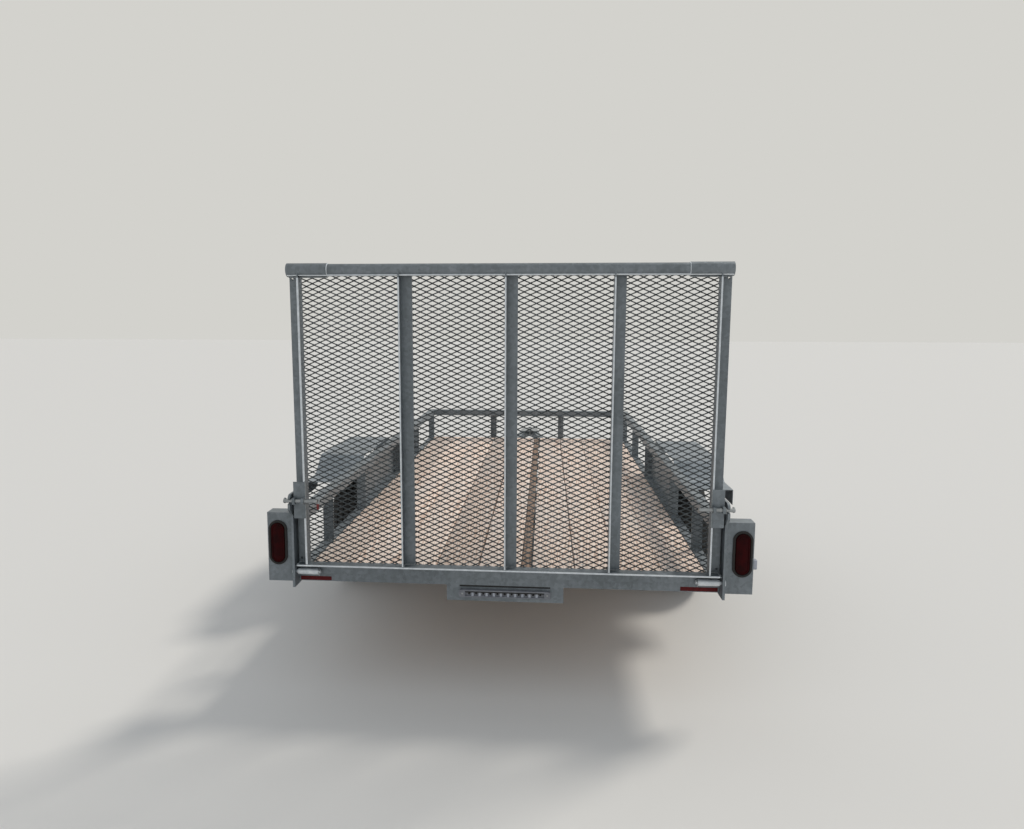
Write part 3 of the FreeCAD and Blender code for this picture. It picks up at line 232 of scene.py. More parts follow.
def timber(name, tones, grey, ring):
    """Wood from its deep, middle and pale tone, the grey that it fades to, and its ring's width."""
    made, tree, shader, _ = new_material(name, Roughness=0.80)
    grain_map = node(tree, "UVMap", {}, uv_map="grain").outputs["UV"]

    def grown(kind, scale, **values):
        """A pattern in the plank's own map, stretched along the fibres."""
        place = node(tree, "Mapping", {"Vector": grain_map, "Scale": scale})
        return node(tree, kind, {"Vector": place.outputs[0], "Scale": 1.0, **values}).outputs[0]

    across = node(tree, "SeparateXYZ", {"Vector": grain_map}).outputs["Y"]
    wander = grown("TexNoise", WANDERS, Detail=2.0, Roughness=0.5)
    bent = node(tree, "Math", {0: wander, 1: WANDER_REACH, 2: across}, operation="MULTIPLY_ADD")
    rings = node(tree, "Math", {0: bent.outputs[0], 1: 2 * math.pi / ring}, operation="MULTIPLY")
    band = node(tree, "Math", {0: rings.outputs[0]}, operation="SINE")
    lift = node(tree, "MapRange", {"Value": band.outputs[0], "From Min": -1.0, "From Max": 1.0})
    fibre = node(tree, "Math", {0: grown("TexNoise", FIBRES, Detail=4.0), 1: FIBRE_SHARE},
                 operation="MULTIPLY")
    grain = node(tree, "Math", {0: lift.outputs[0], 1: RING_SHARE, 2: fibre.outputs[0]},
                 operation="MULTIPLY_ADD")
    wood = node(tree, "ValToRGB", {"Fac": grain.outputs[0]}, stops=list(zip((0.26, 0.46, 0.74), tones)))
    worn = node(tree, "MapRange", {"Value": grown("TexNoise", PATCHES, Detail=5.0, Roughness=0.6),
                                   "From Min": 0.42, "From Max": 0.70, "To Max": 0.70})
    faded = node(tree, "Mix", {"Factor": worn.outputs[0], 6: wood.outputs[0], 7: linear(grey)},
                 data_type="RGBA")
    plank = node(tree, "Math", {0: across, 1: 1 / PLANK_STEP}, operation="MULTIPLY")
    plank = node(tree, "Math", {0: plank.outputs[0]}, operation="FLOOR")
    own = node(tree, "TexWhiteNoise", {"W": plank.outputs[0]}, noise_dimensions="1D")
    shade = node(tree, "MapRange", {"Value": own.outputs["Value"], "To Min": 0.80, "To Max": 1.14})
    toned = node(tree, "HueSaturation", {"Value": shade.outputs[0], "Color": faded.outputs[2]})
    eye = node(tree, "MapRange", {"Value": grown("TexVoronoi", KNOTS), "From Min": 0.03, "From Max": 0.08,
                                  "To Min": 0.8, "To Max": 0.0})
    knotted = node(tree, "Mix", {"Factor": eye.outputs[0], 6: toned.outputs[0], 7: linear(KNOT_BROWN)},
                   data_type="RGBA")
    bump = node(tree, "Bump", {"Height": grain.outputs[0], "Strength": 0.35, "Distance": 0.8 * MM})
    tree.links.new(knotted.outputs[2], shader.inputs["Base Color"])
    tree.links.new(bump.outputs[0], shader.inputs["Normal"])
    return made


treated_pine = timber("weathered_treated_pine", ("#bb9a85", "#e2cab7", "#f0dfd0"), "#d3c8be", 15 * MM)
dark_hardwood = timber("dark_filler_hardwood", ("#594336", "#7d6350", "#9c806a"), "#84766a", 9 * MM)
print("timbers:", treated_pine.name, dark_hardwood.name)

# %% [markdown]
# Rubber and plastics. Tyre rubber is nearly black, dusty and matt; moulded grommets are the same
# but smoother. The lamp lenses are red acrylic over a dark reflector, so from outside they read as
# a very dark red: a nearly black red base with a low specular gives that without any refraction.
# The light bar and the side marker have clear polycarbonate covers that show pale insides.

# %% Rubber and plastics
def moulded(name, tones, rough, size, relief, **extra):
    """Plastic or rubber with a film of dust, whose own values go on the shader's sockets."""
    made, tree, shader, place = new_material(name, **extra)
    dust = node(tree, "TexNoise", {"Vector": place, "Scale": 1 / size, "Detail": 5.0, "Roughness": 0.65})
    tone = node(tree, "ValToRGB", {"Fac": dust.outputs["Fac"]}, stops=list(zip((0.35, 0.75), tones)))
    gloss = node(tree, "MapRange", {"Value": dust.outputs["Fac"],
                                    "To Min": rough - 0.08, "To Max": rough + 0.08})
    finish(tree, shader, place, tone, gloss, (1.5 * MM, 2.0, 0.2, relief))
    return made


tyre_rubber = moulded("tyre_rubber", ("#1c1c1b", "#363431"), 0.80, 70 * MM, 0.3 * MM)
# Black rubber for grommets and bases; the same black paints the shade strips of the light bar.
black_rubber_and_painted_shade = moulded("epdm_rubber_and_painted_shade", ("#080808", "#151515"), 0.55, 20 * MM, 0.1 * MM)
red_acrylic = moulded("red_acrylic_lens", ("#1e0102", "#3a0204"), 0.50, 45 * MM, 0.05 * MM,
                      Specular_IOR_Level=0.08)
clear_cover = moulded("clear_polycarbonate_cover", ("#8d929b", "#b4b8bf"), 0.20, 30 * MM, 0.05 * MM,
                      Coat_Weight=0.5)
lamp_body = moulded("grey_abs_lamp_body", ("#686a70", "#828489"), 0.40, 30 * MM, 0.1 * MM)
red_tape = moulded("red_reflective_tape", ("#47090c", "#661215"), 0.50, 12 * MM, 0.05 * MM,
                   Specular_IOR_Level=0.2)
red_vinyl = moulded("red_vinyl_grip", ("#5c1013", "#7e1c1d"), 0.45, 12 * MM, 0.1 * MM)
grip_vinyl = moulded("black_vinyl_grip", ("#0e0e0e", "#1e1e1e"), 0.50, 15 * MM, 0.2 * MM)
print("rubbers and plastics:", [m.name for m in (tyre_rubber, black_rubber_and_painted_shade, red_acrylic, clear_cover)])

# %% [markdown]
# Now each solid gets the material of the real piece. Names are matched by how they start, so that
# a left and a right piece can never differ. The timber material reads a UV map that the solids
# don't have, and the planks are modelled again below, with that map.

# %% Materials for the solids
FINISH_BY_START = [
    ("tyre", tyre_rubber), ("rim", silver_enamel), ("hub", plated), ("gate_hinge_sleeves", pale_zinc_and_painted_highlight),
    ("axle", black_enamel), ("leaf_spring", black_enamel), ("spring_", black_enamel),
    ("lamp_grommets", black_rubber_and_painted_shade), ("lamp_lenses", red_acrylic), ("side_marker", clear_cover),
    ("light_bar_plate", zinc_frame_with_painted_shade), ("light_bar", clear_cover), ("hinge_pins", pale_zinc_and_painted_highlight),
    ("latch_rods", plated), ("coupler", plated), ("jack", plated), ("fender", zinc_sheet),
    ("gate_mesh", mesh_zinc_with_painted_shade), ("deck_boards", treated_pine), ("deck_filler", dark_hardwood),
]
for name, solid in nodes.items():
    material = next((m for start, m in FINISH_BY_START if name.startswith(start)), zinc_frame_with_painted_shade)
    solid.data.materials.clear()
    solid.data.materials.append(material)
print("materials given to", len(nodes), "solids")

# %% [markdown]
# A few helpers stand for what the hand does in the modelling window: leave the mode one is in with
# nothing selected, put a piece's place into its mesh, open a piece for editing, and select faces,
# edges or vertices by their place and direction. The frame arrives with all its solids selected,
# so everything is deselected before each new primitive.

# %% Selecting and editing
def leave():
    """Back to object mode, with nothing selected."""
    if bpy.context.mode != "OBJECT":
        bpy.ops.object.mode_set(mode="OBJECT")
    bpy.ops.object.select_all(action="DESELECT")


def hold(piece):
    """Makes one piece the selected and active one."""
    leave()
    piece.select_set(True)
    bpy.context.view_layer.objects.active = piece


def settle(name):
    """Names the new primitive and moves its place, turn and size into its mesh."""
    piece = bpy.context.object
    piece.name = name
    hold(piece)
    bpy.ops.object.transform_apply(location=True, rotation=True, scale=True)
    return piece


def edit(piece):
    """Opens a piece in edit mode, with nothing selected."""
    hold(piece)
    bpy.ops.object.mode_set(mode="EDIT")
    bpy.ops.mesh.select_all(action="DESELECT")


def pick_all():
    """In edit mode, selects the whole piece."""
    bpy.ops.mesh.select_all(action="SELECT")


def pick(kind, test):
    """In edit mode, selects the faces, edges or vertices whose middle and direction pass a test."""
    bpy.context.tool_settings.mesh_select_mode = [kind == k for k in ("VERT", "EDGE", "FACE")]
    bpy.ops.mesh.select_all(action="DESELECT")
    shape = bmesh.from_edit_mesh(bpy.context.object.data)
    if kind == "FACE":
        items = [(f, f.calc_center_median(), f.normal) for f in shape.faces]
    elif kind == "EDGE":
        items = [(e, (e.verts[0].co + e.verts[1].co) / 2, (e.verts[1].co - e.verts[0].co).normalized())
                 for e in shape.edges]
    else:
        items = [(v, v.co, v.normal) for v in shape.verts]
    for item, place, way in items:
        if test(place, way):
            item.select_set(True)
    shape.select_flush_mode()
    bmesh.update_edit_mesh(bpy.context.object.data)


def shift(x, y, z):
    """In edit mode, moves what is selected by millimetres."""
    bpy.ops.transform.translate(value=(x * MM, y * MM, z * MM))


def pull(x, y, z):
    """In edit mode, extrudes what is selected by millimetres."""
    bpy.ops.mesh.extrude_region_move(TRANSFORM_OT_translate={"value": (x * MM, y * MM, z * MM)})


def press(*steps):
    """Insets the selected face by a width, and moves it along the depth, once for every step."""
    for width, depth in steps:
        bpy.ops.mesh.inset(thickness=width * MM)
        if depth:
            shift(0, depth, 0)


def face_out():
    """In edit mode, turns all faces outwards."""
    pick_all()
    bpy.ops.mesh.normals_make_consistent(inside=False)


print("helpers for selecting and editing ready")

# %% [markdown]
# Most pieces start as a box or a round bar between two places, given in bed millimetres as a
# drawing gives them, and get their edges bevelled. The other helpers join, copy, cut and repeat
# finished pieces. A copy has a mesh of its own, so that it can be changed by itself.

# %% Making, joining and copying
def block(name, low, high):
    """A box between two corners, in bed millimetres."""
    leave()
    a, b = at(*low), at(*high)
    bpy.ops.mesh.primitive_cube_add(size=1, location=(a + b) / 2, scale=b - a)
    return settle(name)


def bar(name, radius, start, end, sides=16):
    """A round bar between two places, in bed millimetres."""
    leave()
    a, b = at(*start), at(*end)
    turn = (b - a).to_track_quat("Z", "Y").to_euler()
    bpy.ops.mesh.primitive_cylinder_add(vertices=sides, radius=radius * MM, depth=(b - a).length,
                                        location=(a + b) / 2, rotation=turn)
    return settle(name)


def soften(piece, width, segments, test=lambda place, way: True):
    """Bevels the edges that pass a test."""
    edit(piece)
    pick("EDGE", test)
    bpy.ops.mesh.bevel(offset=width * MM, segments=segments, affect="EDGES", clamp_overlap=True)
    leave()
    return piece


def joined(name, pieces):
    """One piece out of several."""
    leave()
    for piece in pieces:
        piece.select_set(True)
    bpy.context.view_layer.objects.active = pieces[0]
    if len(pieces) > 1:
        bpy.ops.object.join()
    pieces[0].name = name
    return pieces[0]


def twin(piece, name, matrix):
    """A copy with its own mesh, placed by a matrix; a mirrored copy gets its faces turned outwards."""
    made = piece.copy()
    made.data = piece.data.copy()
    made.name = name
    bpy.context.scene.collection.objects.link(made)
    made.data.transform(matrix)
    if matrix.determinant() < 0:
        made.data.flip_normals()
    return made


MIRROR = Matrix.Scale(-1, 4, (1, 0, 0))


def on_both_sides(name, pieces):
    """One piece out of the right-hand pieces and their mirror image."""
    right = joined(name, pieces)
    return joined(name, [right, twin(right, "left", MIRROR)])


def apply_all(piece):
    """Applies a piece's modifiers in their order."""
    hold(piece)
    for name in [m.name for m in piece.modifiers]:
        bpy.ops.object.modifier_apply(modifier=name)
    return piece


def cut_out(piece, cutter):
    """Cuts one piece out of another and throws the cutter away."""
    opening = piece.modifiers.new("opening", "BOOLEAN")
    opening.operation = "DIFFERENCE"
    opening.object = cutter
    apply_all(piece)
    bpy.data.objects.remove(cutter)


def repeat(piece, count, step):
    """Adds an array with a step in metres."""
    row = piece.modifiers.new("row", "ARRAY")
    row.count = count
    row.use_relative_offset = False
    row.use_constant_offset = True
    row.constant_offset_displace = step


print("helpers for making, joining and copying ready")

# %% [markdown]
# Every finished piece is handed over in the same way: shaded smooth up to an angle, given its
# material, and told which body of the frame it rides on and which solids it stands for. A wheel's
# piece is modelled on the right and handed over on both sides.

# %% Handing over a finished piece
SMOOTH_UP_TO = 35


def hand_over(piece, material, body, stands_for=(), angle=SMOOTH_UP_TO):
    """Shades a piece, gives it its material, and says where it rides and what it replaces."""
    hold(piece)
    bpy.ops.object.shade_smooth_by_angle(angle=math.radians(angle))
    piece.data.materials.clear()
    piece.data.materials.append(material)
    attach(piece, body)
    if stands_for:
        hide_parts(*stands_for)
    print(piece.name, len(piece.data.polygons), "faces on", body)


def hand_over_wheels(right, stem, material, solid="", angle=SMOOTH_UP_TO):
    """Hands over a piece of the right wheel, and then its mirror image on the left one."""
    right.name = stem + "_right"
    hand_over(right, material, "wheel_right", [solid + "_right"] if solid else (), angle)
    left = twin(right, stem + "_left", MIRROR)
    hand_over(left, material, "wheel_left", [solid + "_left"] if solid else (), angle)


# %% [markdown]
# Round things, such as tyres, rims and nuts, start as a line: one vertex is pulled out point by
# point into a profile and then spun about its axis. The profile is given as distances along the
# axis and away from it, as a turner would read it from a drawing. After a full turn the last ring
# lies on the first, and points on the axis lie on each other, so doubles are merged, and then all
# faces are made to look outwards.

# %% Spinning a profile
AXES = {"X": Vector((1, 0, 0)), "Y": Vector((0, 1, 0)), "Z": Vector((0, 0, 1))}
DOUBLES_WITHIN = 0.00005


def spun(name, points, centre, axis, steps):
    """Spins a profile of (along, away) millimetres about an axis through a centre in bed millimetres."""
    along = AXES[axis]
    away = AXES["Y"] if axis == "Z" else AXES["Z"]
    middle = at(*centre)
    places = [middle + along * (u * MM) + away * (r * MM) for u, r in points]
    leave()
    bpy.ops.mesh.primitive_plane_add(size=2 * MM, location=places[0])
    piece = settle(name)
    edit(piece)
    bpy.ops.mesh.select_mode(type="VERT")
    pick_all()
    bpy.ops.mesh.merge(type="CENTER")
    for before, after in zip(places, places[1:]):
        bpy.ops.mesh.extrude_vertices_move(TRANSFORM_OT_translate={"value": tuple(after - before)})
    pick_all()
    bpy.ops.mesh.spin(steps=steps, angle=2 * math.pi, center=middle, axis=along)
    pick_all()
    bpy.ops.mesh.remove_doubles(threshold=DOUBLES_WITHIN)
    face_out()
    leave()
    return piece


print("profiles spin about", ", ".join(AXES))

# %% [markdown]
# The ramp gate leans a degree to the rear about its hinge line. Its pieces are modelled upright,
# where their edges are square to the axes, and leaned at the end with one matrix.

# %% The gate's lean
HINGE_Y, HINGE_Z = -30.5, 543.0
HINGE = at(0, HINGE_Y, HINGE_Z)
LEAN = Matrix.Translation(HINGE) @ Matrix.Rotation(math.radians(1.0), 4, "X") @ Matrix.Translation(-HINGE)
GATE_HALF = 908
TUBE_Y, TUBE_Z = -37.5, 1846.5
BAR_PLACES = (-440, 0, 440)


def lean(pieces):
    """Leans upright pieces with the gate."""
    for piece in pieces:
        piece.data.transform(LEAN)


print("gate leans about", tuple(round(v, 4) for v in HINGE))

# %% [markdown]
# Expanded metal. A steel sheet is slit in staggered rows and pulled open, so every slit becomes a
# diamond, and the strands between them stay one piece but twist: the upper edge of each strand
# tips back and its lower edge forward. The pattern is one tile, a rhombus with a rounded diamond
# hole, repeated on a staggered lattice. The tile is made from two circle primitives of four and
# eight corners that are bridged; the hole's upper and lower rims are pushed apart along the
# depth, which gives the twist; two arrays repeat it; four bisects cut the sheet to size, and a
# solidify gives it the thickness. The real sheet is 50.8 by 23.4 mm from bond to bond.

# %% One tile of the expanded metal
PITCH_X, PITCH_Z = 50.8, 23.4
BOND_X, BOND_Z = 5.4, 2.9
TWIST = 1.4
CORNER_ROUND = 0.76
SHEET_Y = -9.0
COLUMNS, ROWS = 37, 56
SHEET = {"left": -904.0, "right": 904.0, "bottom": 552.0, "top": 1827.0}
SHEET_WALL = 2.0
corner = at(-COLUMNS * PITCH_X / 2, SHEET_Y, SHEET["bottom"] - PITCH_Z)
hole_x, hole_z = PITCH_X / 2 - BOND_X, PITCH_Z / 2 - BOND_Z
leave()
bpy.ops.mesh.primitive_circle_add(vertices=4, radius=MM, location=corner, rotation=(math.pi / 2, 0, 0))
expanded = settle("gate_expanded_metal")
edit(expanded)
pick_all()
bpy.ops.transform.resize(value=(PITCH_X / 2, 1, PITCH_Z / 2), center_override=corner)
bpy.ops.mesh.select_all(action="DESELECT")
bpy.ops.mesh.primitive_circle_add(vertices=8, radius=MM, location=corner, rotation=(math.pi / 2, 0, 0))
bpy.ops.transform.resize(value=(hole_x, 1, hole_z), center_override=corner)
pick("VERT", lambda p, n: 0.4 * hole_x * MM < abs(p.x - corner.x) < 0.9 * hole_x * MM)
bpy.ops.transform.resize(value=(CORNER_ROUND, 1, CORNER_ROUND), center_override=corner)
pick_all()
bpy.context.tool_settings.mesh_select_mode = (False, True, False)
bpy.ops.mesh.bridge_edge_loops()
for way in (1, -1):
    pick("VERT", lambda p, n: 0.3 * hole_z * MM < way * (p.z - corner.z) < 1.1 * hole_z * MM)
    shift(0, -way * TWIST, 0)
pick_all()
bpy.ops.mesh.duplicate()
shift(PITCH_X / 2, 0, PITCH_Z / 2)
leave()
print("one tile and its staggered neighbour:", len(expanded.data.polygons), "faces")

# %% [markdown]
# The tile is repeated along the sheet and up it, the doubles at the bonds are merged, and the
# sheet is trimmed on its four sides before it gets its wall.

# %% The sheet of expanded metal
repeat(expanded, COLUMNS + 1, (PITCH_X * MM, 0, 0))
repeat(expanded, ROWS + 1, (0, 0, PITCH_Z * MM))
apply_all(expanded)
edit(expanded)
pick_all()
bpy.ops.mesh.remove_doubles(threshold=DOUBLES_WITHIN)
for place, way in (((SHEET["left"], 0, 0), (-1, 0, 0)), ((SHEET["right"], 0, 0), (1, 0, 0)),
                   ((0, 0, SHEET["bottom"]), (0, 0, -1)), ((0, 0, SHEET["top"]), (0, 0, 1))):
    pick_all()
    bpy.ops.mesh.bisect(plane_co=at(*place), plane_no=way, clear_outer=True)
leave()
wall = expanded.modifiers.new("thickness", "SOLIDIFY")
wall.thickness = SHEET_WALL * MM
wall.offset = 0.0
apply_all(expanded)
lean([expanded])
hand_over(expanded, mesh_zinc_with_painted_shade, "ramp_gate", ["gate_mesh"], angle=30)

# %% [markdown]
# The deck: nine planks 184 mm wide and one dark filler strip right of the middle. A new plank has
# its long edges eased by the planer, and a used one has settled a little lower or higher than its
# neighbour, so every plank is a box with three-millimetre round edges and its own small drop. Four
# of them dried more than the others, and the joints beside them show as dark lines. The UV map is
# written from the vertices' places, in metres along and across the fibres.

# %% Deck planks
PLANK, FILLER, PLANK_GAP, FIRST_PLANK = 184.0, 46.0, 2.818, -863.682
BOARD_COUNT, FILLER_PLACE = 10, 5
DECK_BOTTOM, DECK_TOP, DECK_REAR, DECK_FRONT = 528.0, 566.0, 7.0, 3651.0
SHRUNK = {2: 2.5, 3: 4.0, 5: 5.5, 6: 2.5}
EASED_EDGE, MOST_DROP = 3.0, 1.2


def map_grain(piece, number):
    """Writes the UV map: metres along the fibres, and across them from a place of the plank's own."""
    while piece.data.uv_layers:
        piece.data.uv_layers.remove(piece.data.uv_layers[0])
    layer = piece.data.uv_layers.new(name="grain")
    for loop in piece.data.loops:
        place = piece.data.vertices[loop.vertex_index].co
        layer.data[loop.index].uv = (place.y + 0.37 * number,
                                     place.x + 0.8 * place.z + PLANK_STEP * (number + 0.4))


boards, x = [], FIRST_PLANK
for i in range(BOARD_COUNT):
    width = FILLER if i == FILLER_PLACE else PLANK
    boards.append((i, x, width))
    x += width + PLANK_GAP
planks = []
for i, x, width in boards:
    top = DECK_TOP - MOST_DROP * random.random()
    plank = block("plank", (x, DECK_REAR, DECK_BOTTOM), (x + width - SHRUNK.get(i, 0.0), DECK_FRONT, top))
    soften(plank, EASED_EDGE, 3, lambda p, way: abs(way.y) > 0.9)
    map_grain(plank, i + 1)
    planks.append(plank)
filler = planks.pop(FILLER_PLACE)
filler.name = "filler_strip"
hand_over(filler, dark_hardwood, "chassis", ["deck_filler_board"], angle=50)
hand_over(joined("deck_planks", planks), treated_pine, "chassis", ["deck_boards"], angle=50)

# %% [markdown]
# Two self-drilling screws hold every plank to every angle under it, and one holds the filler. Each
# has a countersunk head a little under the surface with a recess. One screw is modelled from a
# twelve-sided cylinder, whose top is inset and pressed in, and its copies follow the planks and
# the angles, a few millimetres off the line, as a hand sets them.

# %% Deck screws
ANGLE_FIRST, ANGLE_STEP, ANGLE_COUNT = 85.5, 498.14, 8
HEAD_RADIUS, RECESS_RIM, RECESS_DEPTH = 6.0, 2.2, 0.9
screw = bar("screw", HEAD_RADIUS, (0, 0, DECK_TOP - 1.5), (0, 0, DECK_TOP + 0.8), sides=12)
edit(screw)
pick("FACE", lambda p, n: n.z > 0.9)
bpy.ops.mesh.inset(thickness=RECESS_RIM * MM)
shift(0, 0, -RECESS_DEPTH)
leave()
screws = []
for i, x, width in boards:
    for side in ((0.5,) if i == FILLER_PLACE else (0.17, 0.83)):
        for k in range(ANGLE_COUNT):
            slip = Vector(((x + side * width + random.uniform(-4, 4)) * MM,
                           (ANGLE_FIRST + k * ANGLE_STEP + random.uniform(-6, 6)) * MM, 0))
            screws.append(twin(screw, "screw", Matrix.Translation(slip)))
bpy.data.objects.remove(screw)
hand_over(joined("deck_screws", screws), plated, "chassis")

# %% [markdown]
# Tyres. A trailer tyre has a nearly flat tread with four straight grooves and slots across its
# shoulders, a rounded side wall with a raised ring, and two beads on the rim. The profile is drawn
# from bead to bead and spun in 72 steps. Then every cross edge of the shoulder ribs is bevelled
# into a narrow face, and these faces are pushed in, which cuts the slots.

# %% Tyres with their tread
AXLE_Y, AXLE_Z, WHEEL_X = 1535.0, 344.0, 1042.0
WHEEL_STEPS = 72
SLOT_HALF, SLOT_DEPTH = 2.6, 5.0
TREAD_HALF = [
    (72.2, 190.8), (72.2, 207.0), (84.0, 212.0), (93.5, 226.0), (99.5, 246.0), (101.5, 268.0),
    (101.3, 281.0), (101.9, 283.0), (101.4, 291.0), (100.0, 293.0), (98.0, 306.0), (93.5, 321.0),
    (88.0, 330.0), (79.0, 337.5), (54.0, 341.5), (53.0, 334.5), (47.0, 334.5), (46.0, 342.7),
    (21.0, 343.9), (20.0, 336.5), (14.0, 336.5), (13.0, 344.0),
]
wheel_centre = (WHEEL_X, AXLE_Y, AXLE_Z)
hub_middle = at(*wheel_centre)
tread_line = TREAD_HALF + [(-x, r) for x, r in reversed(TREAD_HALF)] + [TREAD_HALF[0]]
tyre = spun("tyre", tread_line, wheel_centre, "X", WHEEL_STEPS)


def shoulder_edge(p, way):
    """Whether an edge runs across a shoulder rib of the tread."""
    out = abs(p.x - hub_middle.x) / MM
    away = Vector((0, p.y - hub_middle.y, p.z - hub_middle.z)).length / MM
    return abs(way.x) > 0.9 and 54 < out < 79 and away > 338


edit(tyre)
pick("EDGE", shoulder_edge)
bpy.ops.mesh.bevel(offset=SLOT_HALF * MM, segments=1, affect="EDGES", clamp_overlap=True)
bpy.ops.mesh.select_mode(type="FACE")
bpy.ops.mesh.extrude_region_shrink_fatten(TRANSFORM_OT_shrink_fatten={"value": -SLOT_DEPTH * MM})
leave()
hand_over_wheels(tyre, "tyre_dressed", tyre_rubber, "tyre", angle=32)

# %% [markdown]
# The wheels are pressed and welded steel: a rolled barrel with a drop centre and two flanges, and
# a dished disc with round hand holes. The profile is the frame's own, with rounder bends, spun in
# 72 steps, and five short bars cut the hand holes out of the disc.

# %% Rims
BARREL = [
    (-76, 203.5), (-72.5, 203.5), (-72.5, 190.5), (-52, 190.5), (-49, 188.5), (-42, 170.5), (-39, 168.5),
    (23, 168.5), (26, 170.5), (33, 188.5), (36, 190.5), (72.5, 190.5), (72.5, 203.5), (76, 203.5),
    (76, 189), (74, 187), (37.5, 187), (35, 185.5), (29, 168), (26, 165), (-42, 165), (-45, 168),
    (-51, 185.5), (-53.5, 187), (-74, 187), (-76, 189), (-76, 203.5),
]
DISC = [
    (4, 42), (4, 74), (7, 79), (26, 95), (32, 100), (34, 106), (34, 131), (31, 138), (22, 148),
    (8, 163), (4, 165), (-5, 165), (-2, 158), (14, 142), (23, 132), (25, 128), (25, 108), (22, 103),
    (-2, 84), (-5, 78), (-5, 42), (4, 42),
]
HOLE_COUNT, HOLE_CIRCLE, HOLE_RADIUS = 5, 118.5, 15.0


def round_the_axle(count, radius, first=0.0):
    """Y and Z of places on a circle round the axle, from the top on."""
    turns = [2 * math.pi / count * (i + first) for i in range(count)]
    return [(AXLE_Y + radius * math.sin(turn), AXLE_Z + radius * math.cos(turn)) for turn in turns]


barrel = spun("barrel", BARREL, wheel_centre, "X", WHEEL_STEPS)
disc = spun("disc", DISC, wheel_centre, "X", WHEEL_STEPS)
cutters = [bar("cutter", HOLE_RADIUS, (WHEEL_X, y, z), (WHEEL_X + 60, y, z), sides=24)
           for y, z in round_the_axle(HOLE_COUNT, HOLE_CIRCLE, first=0.5)]
cut_out(disc, joined("cutter", cutters))
hand_over_wheels(joined("rim", [barrel, disc]), "rim_dressed", silver_enamel, "rim", angle=32)

# %% [markdown]
# Five wheel nuts on a circle of 114.3 mm, and a valve. A wheel nut is a hexagon with a cone towards
# the disc and a domed or chamfered end; here a six-sided cylinder is bevelled at its outer rim, and
# a stud shows in its middle. The valve is a rubber stem with a cap, near the rim.

# %% Wheel nuts and valves
NUT_COUNT, NUT_CIRCLE, NUT_RADIUS = 5, 57.15, 11.5
VALVE = [(0, 0), (0, 6), (6, 6), (9, 3.8), (30, 3.8), (31, 4.6), (41, 4.6), (42.5, 3.4), (42.5, 0)]


def hex_nut(name, radius, start, end, stud):
    """A six-sided nut between two places, with a bevelled outer rim and a stud that stands out."""
    painted_highlight_strip = (at(*end) - at(*start)).normalized()
    reach = [e + (e - s) * stud for s, e in zip(start, end)]
    nut = bar(name, radius, start, end, sides=6)
    pin = bar(name, radius * 0.52, start, reach, sides=10)
    for piece, tip, share, segments in ((nut, at(*end), 0.14, 2), (pin, at(*reach), 0.1, 1)):
        soften(piece, radius * share, segments,
               lambda p, way: abs(way.dot(painted_highlight_strip)) < 0.3 and (p - tip).length < radius * MM)
    return [nut, pin]


nuts = []
for y, z in round_the_axle(NUT_COUNT, NUT_CIRCLE):
    nuts += hex_nut("nut", NUT_RADIUS, (WHEEL_X + 3, y, z), (WHEEL_X + 20, y, z), 0.25)
hand_over_wheels(joined("nuts", nuts), "wheel_nuts", plated, angle=25)
valve = spun("valve", VALVE, (WHEEL_X + 26, AXLE_Y + 100.5, AXLE_Z + 123), "X", 16)
hand_over_wheels(valve, "valve", grip_vinyl)

# %% [markdown]
# Tail lamps. An oval rubber grommet holds an oval lens of red acrylic. Both outlines are stadiums: a
# round bar along the depth, whose upper half is lifted and lower half lowered. The grommet's front
# is inset and pressed in to a well with a rounded rim; the lens is inset four times, so that it has
# a flat border, a step and a slightly domed middle.

# %% Lamp grommets and lenses
LAMP_X, LAMP_Z, LAMP_REAR = 1003.0, 665.0, -12.0
GROMMET_HALF, GROMMET_PROUD = 41.5, 5
LENS_HALF, LENS_PROUD = 29.6, 6
LAMP_STRETCH = 58.5


def oval(name, half, front, rear):
    """A stadium of a given half width: a round bar along the depth, pulled apart upwards and downwards."""
    piece = bar(name, half, (LAMP_X, front, LAMP_Z), (LAMP_X, rear, LAMP_Z), sides=40)
    middle = at(LAMP_X, front, LAMP_Z).z
    edit(piece)
    for way in (1, -1):
        pick("VERT", lambda p, n: way * (p.z - middle) > 0.1 * MM)
        shift(0, 0, way * LAMP_STRETCH)
    plane = at(0, rear, 0).y
    pick("FACE", lambda p, n: n.y < -0.9 and abs(p.y - plane) < 0.2 * MM)
    return piece


grommet = oval("grommet", GROMMET_HALF, LAMP_REAR + 12, LAMP_REAR - GROMMET_PROUD)
press((2.0, -0.8), (6.5, 0), (2.5, 4.8))
lens = oval("lens", LENS_HALF, LAMP_REAR, LAMP_REAR - LENS_PROUD)
press((2.0, -1.6), (4.5, -0.5), (1.0, 1.6), (7.0, -2.2))
hand_over(on_both_sides("lamp_grommets_dressed", [grommet]), black_rubber_and_painted_shade, "chassis", ["lamp_grommets"])
hand_over(on_both_sides("lamp_lenses_dressed", [lens]), red_acrylic, "chassis", ["lamp_lenses"], angle=25)
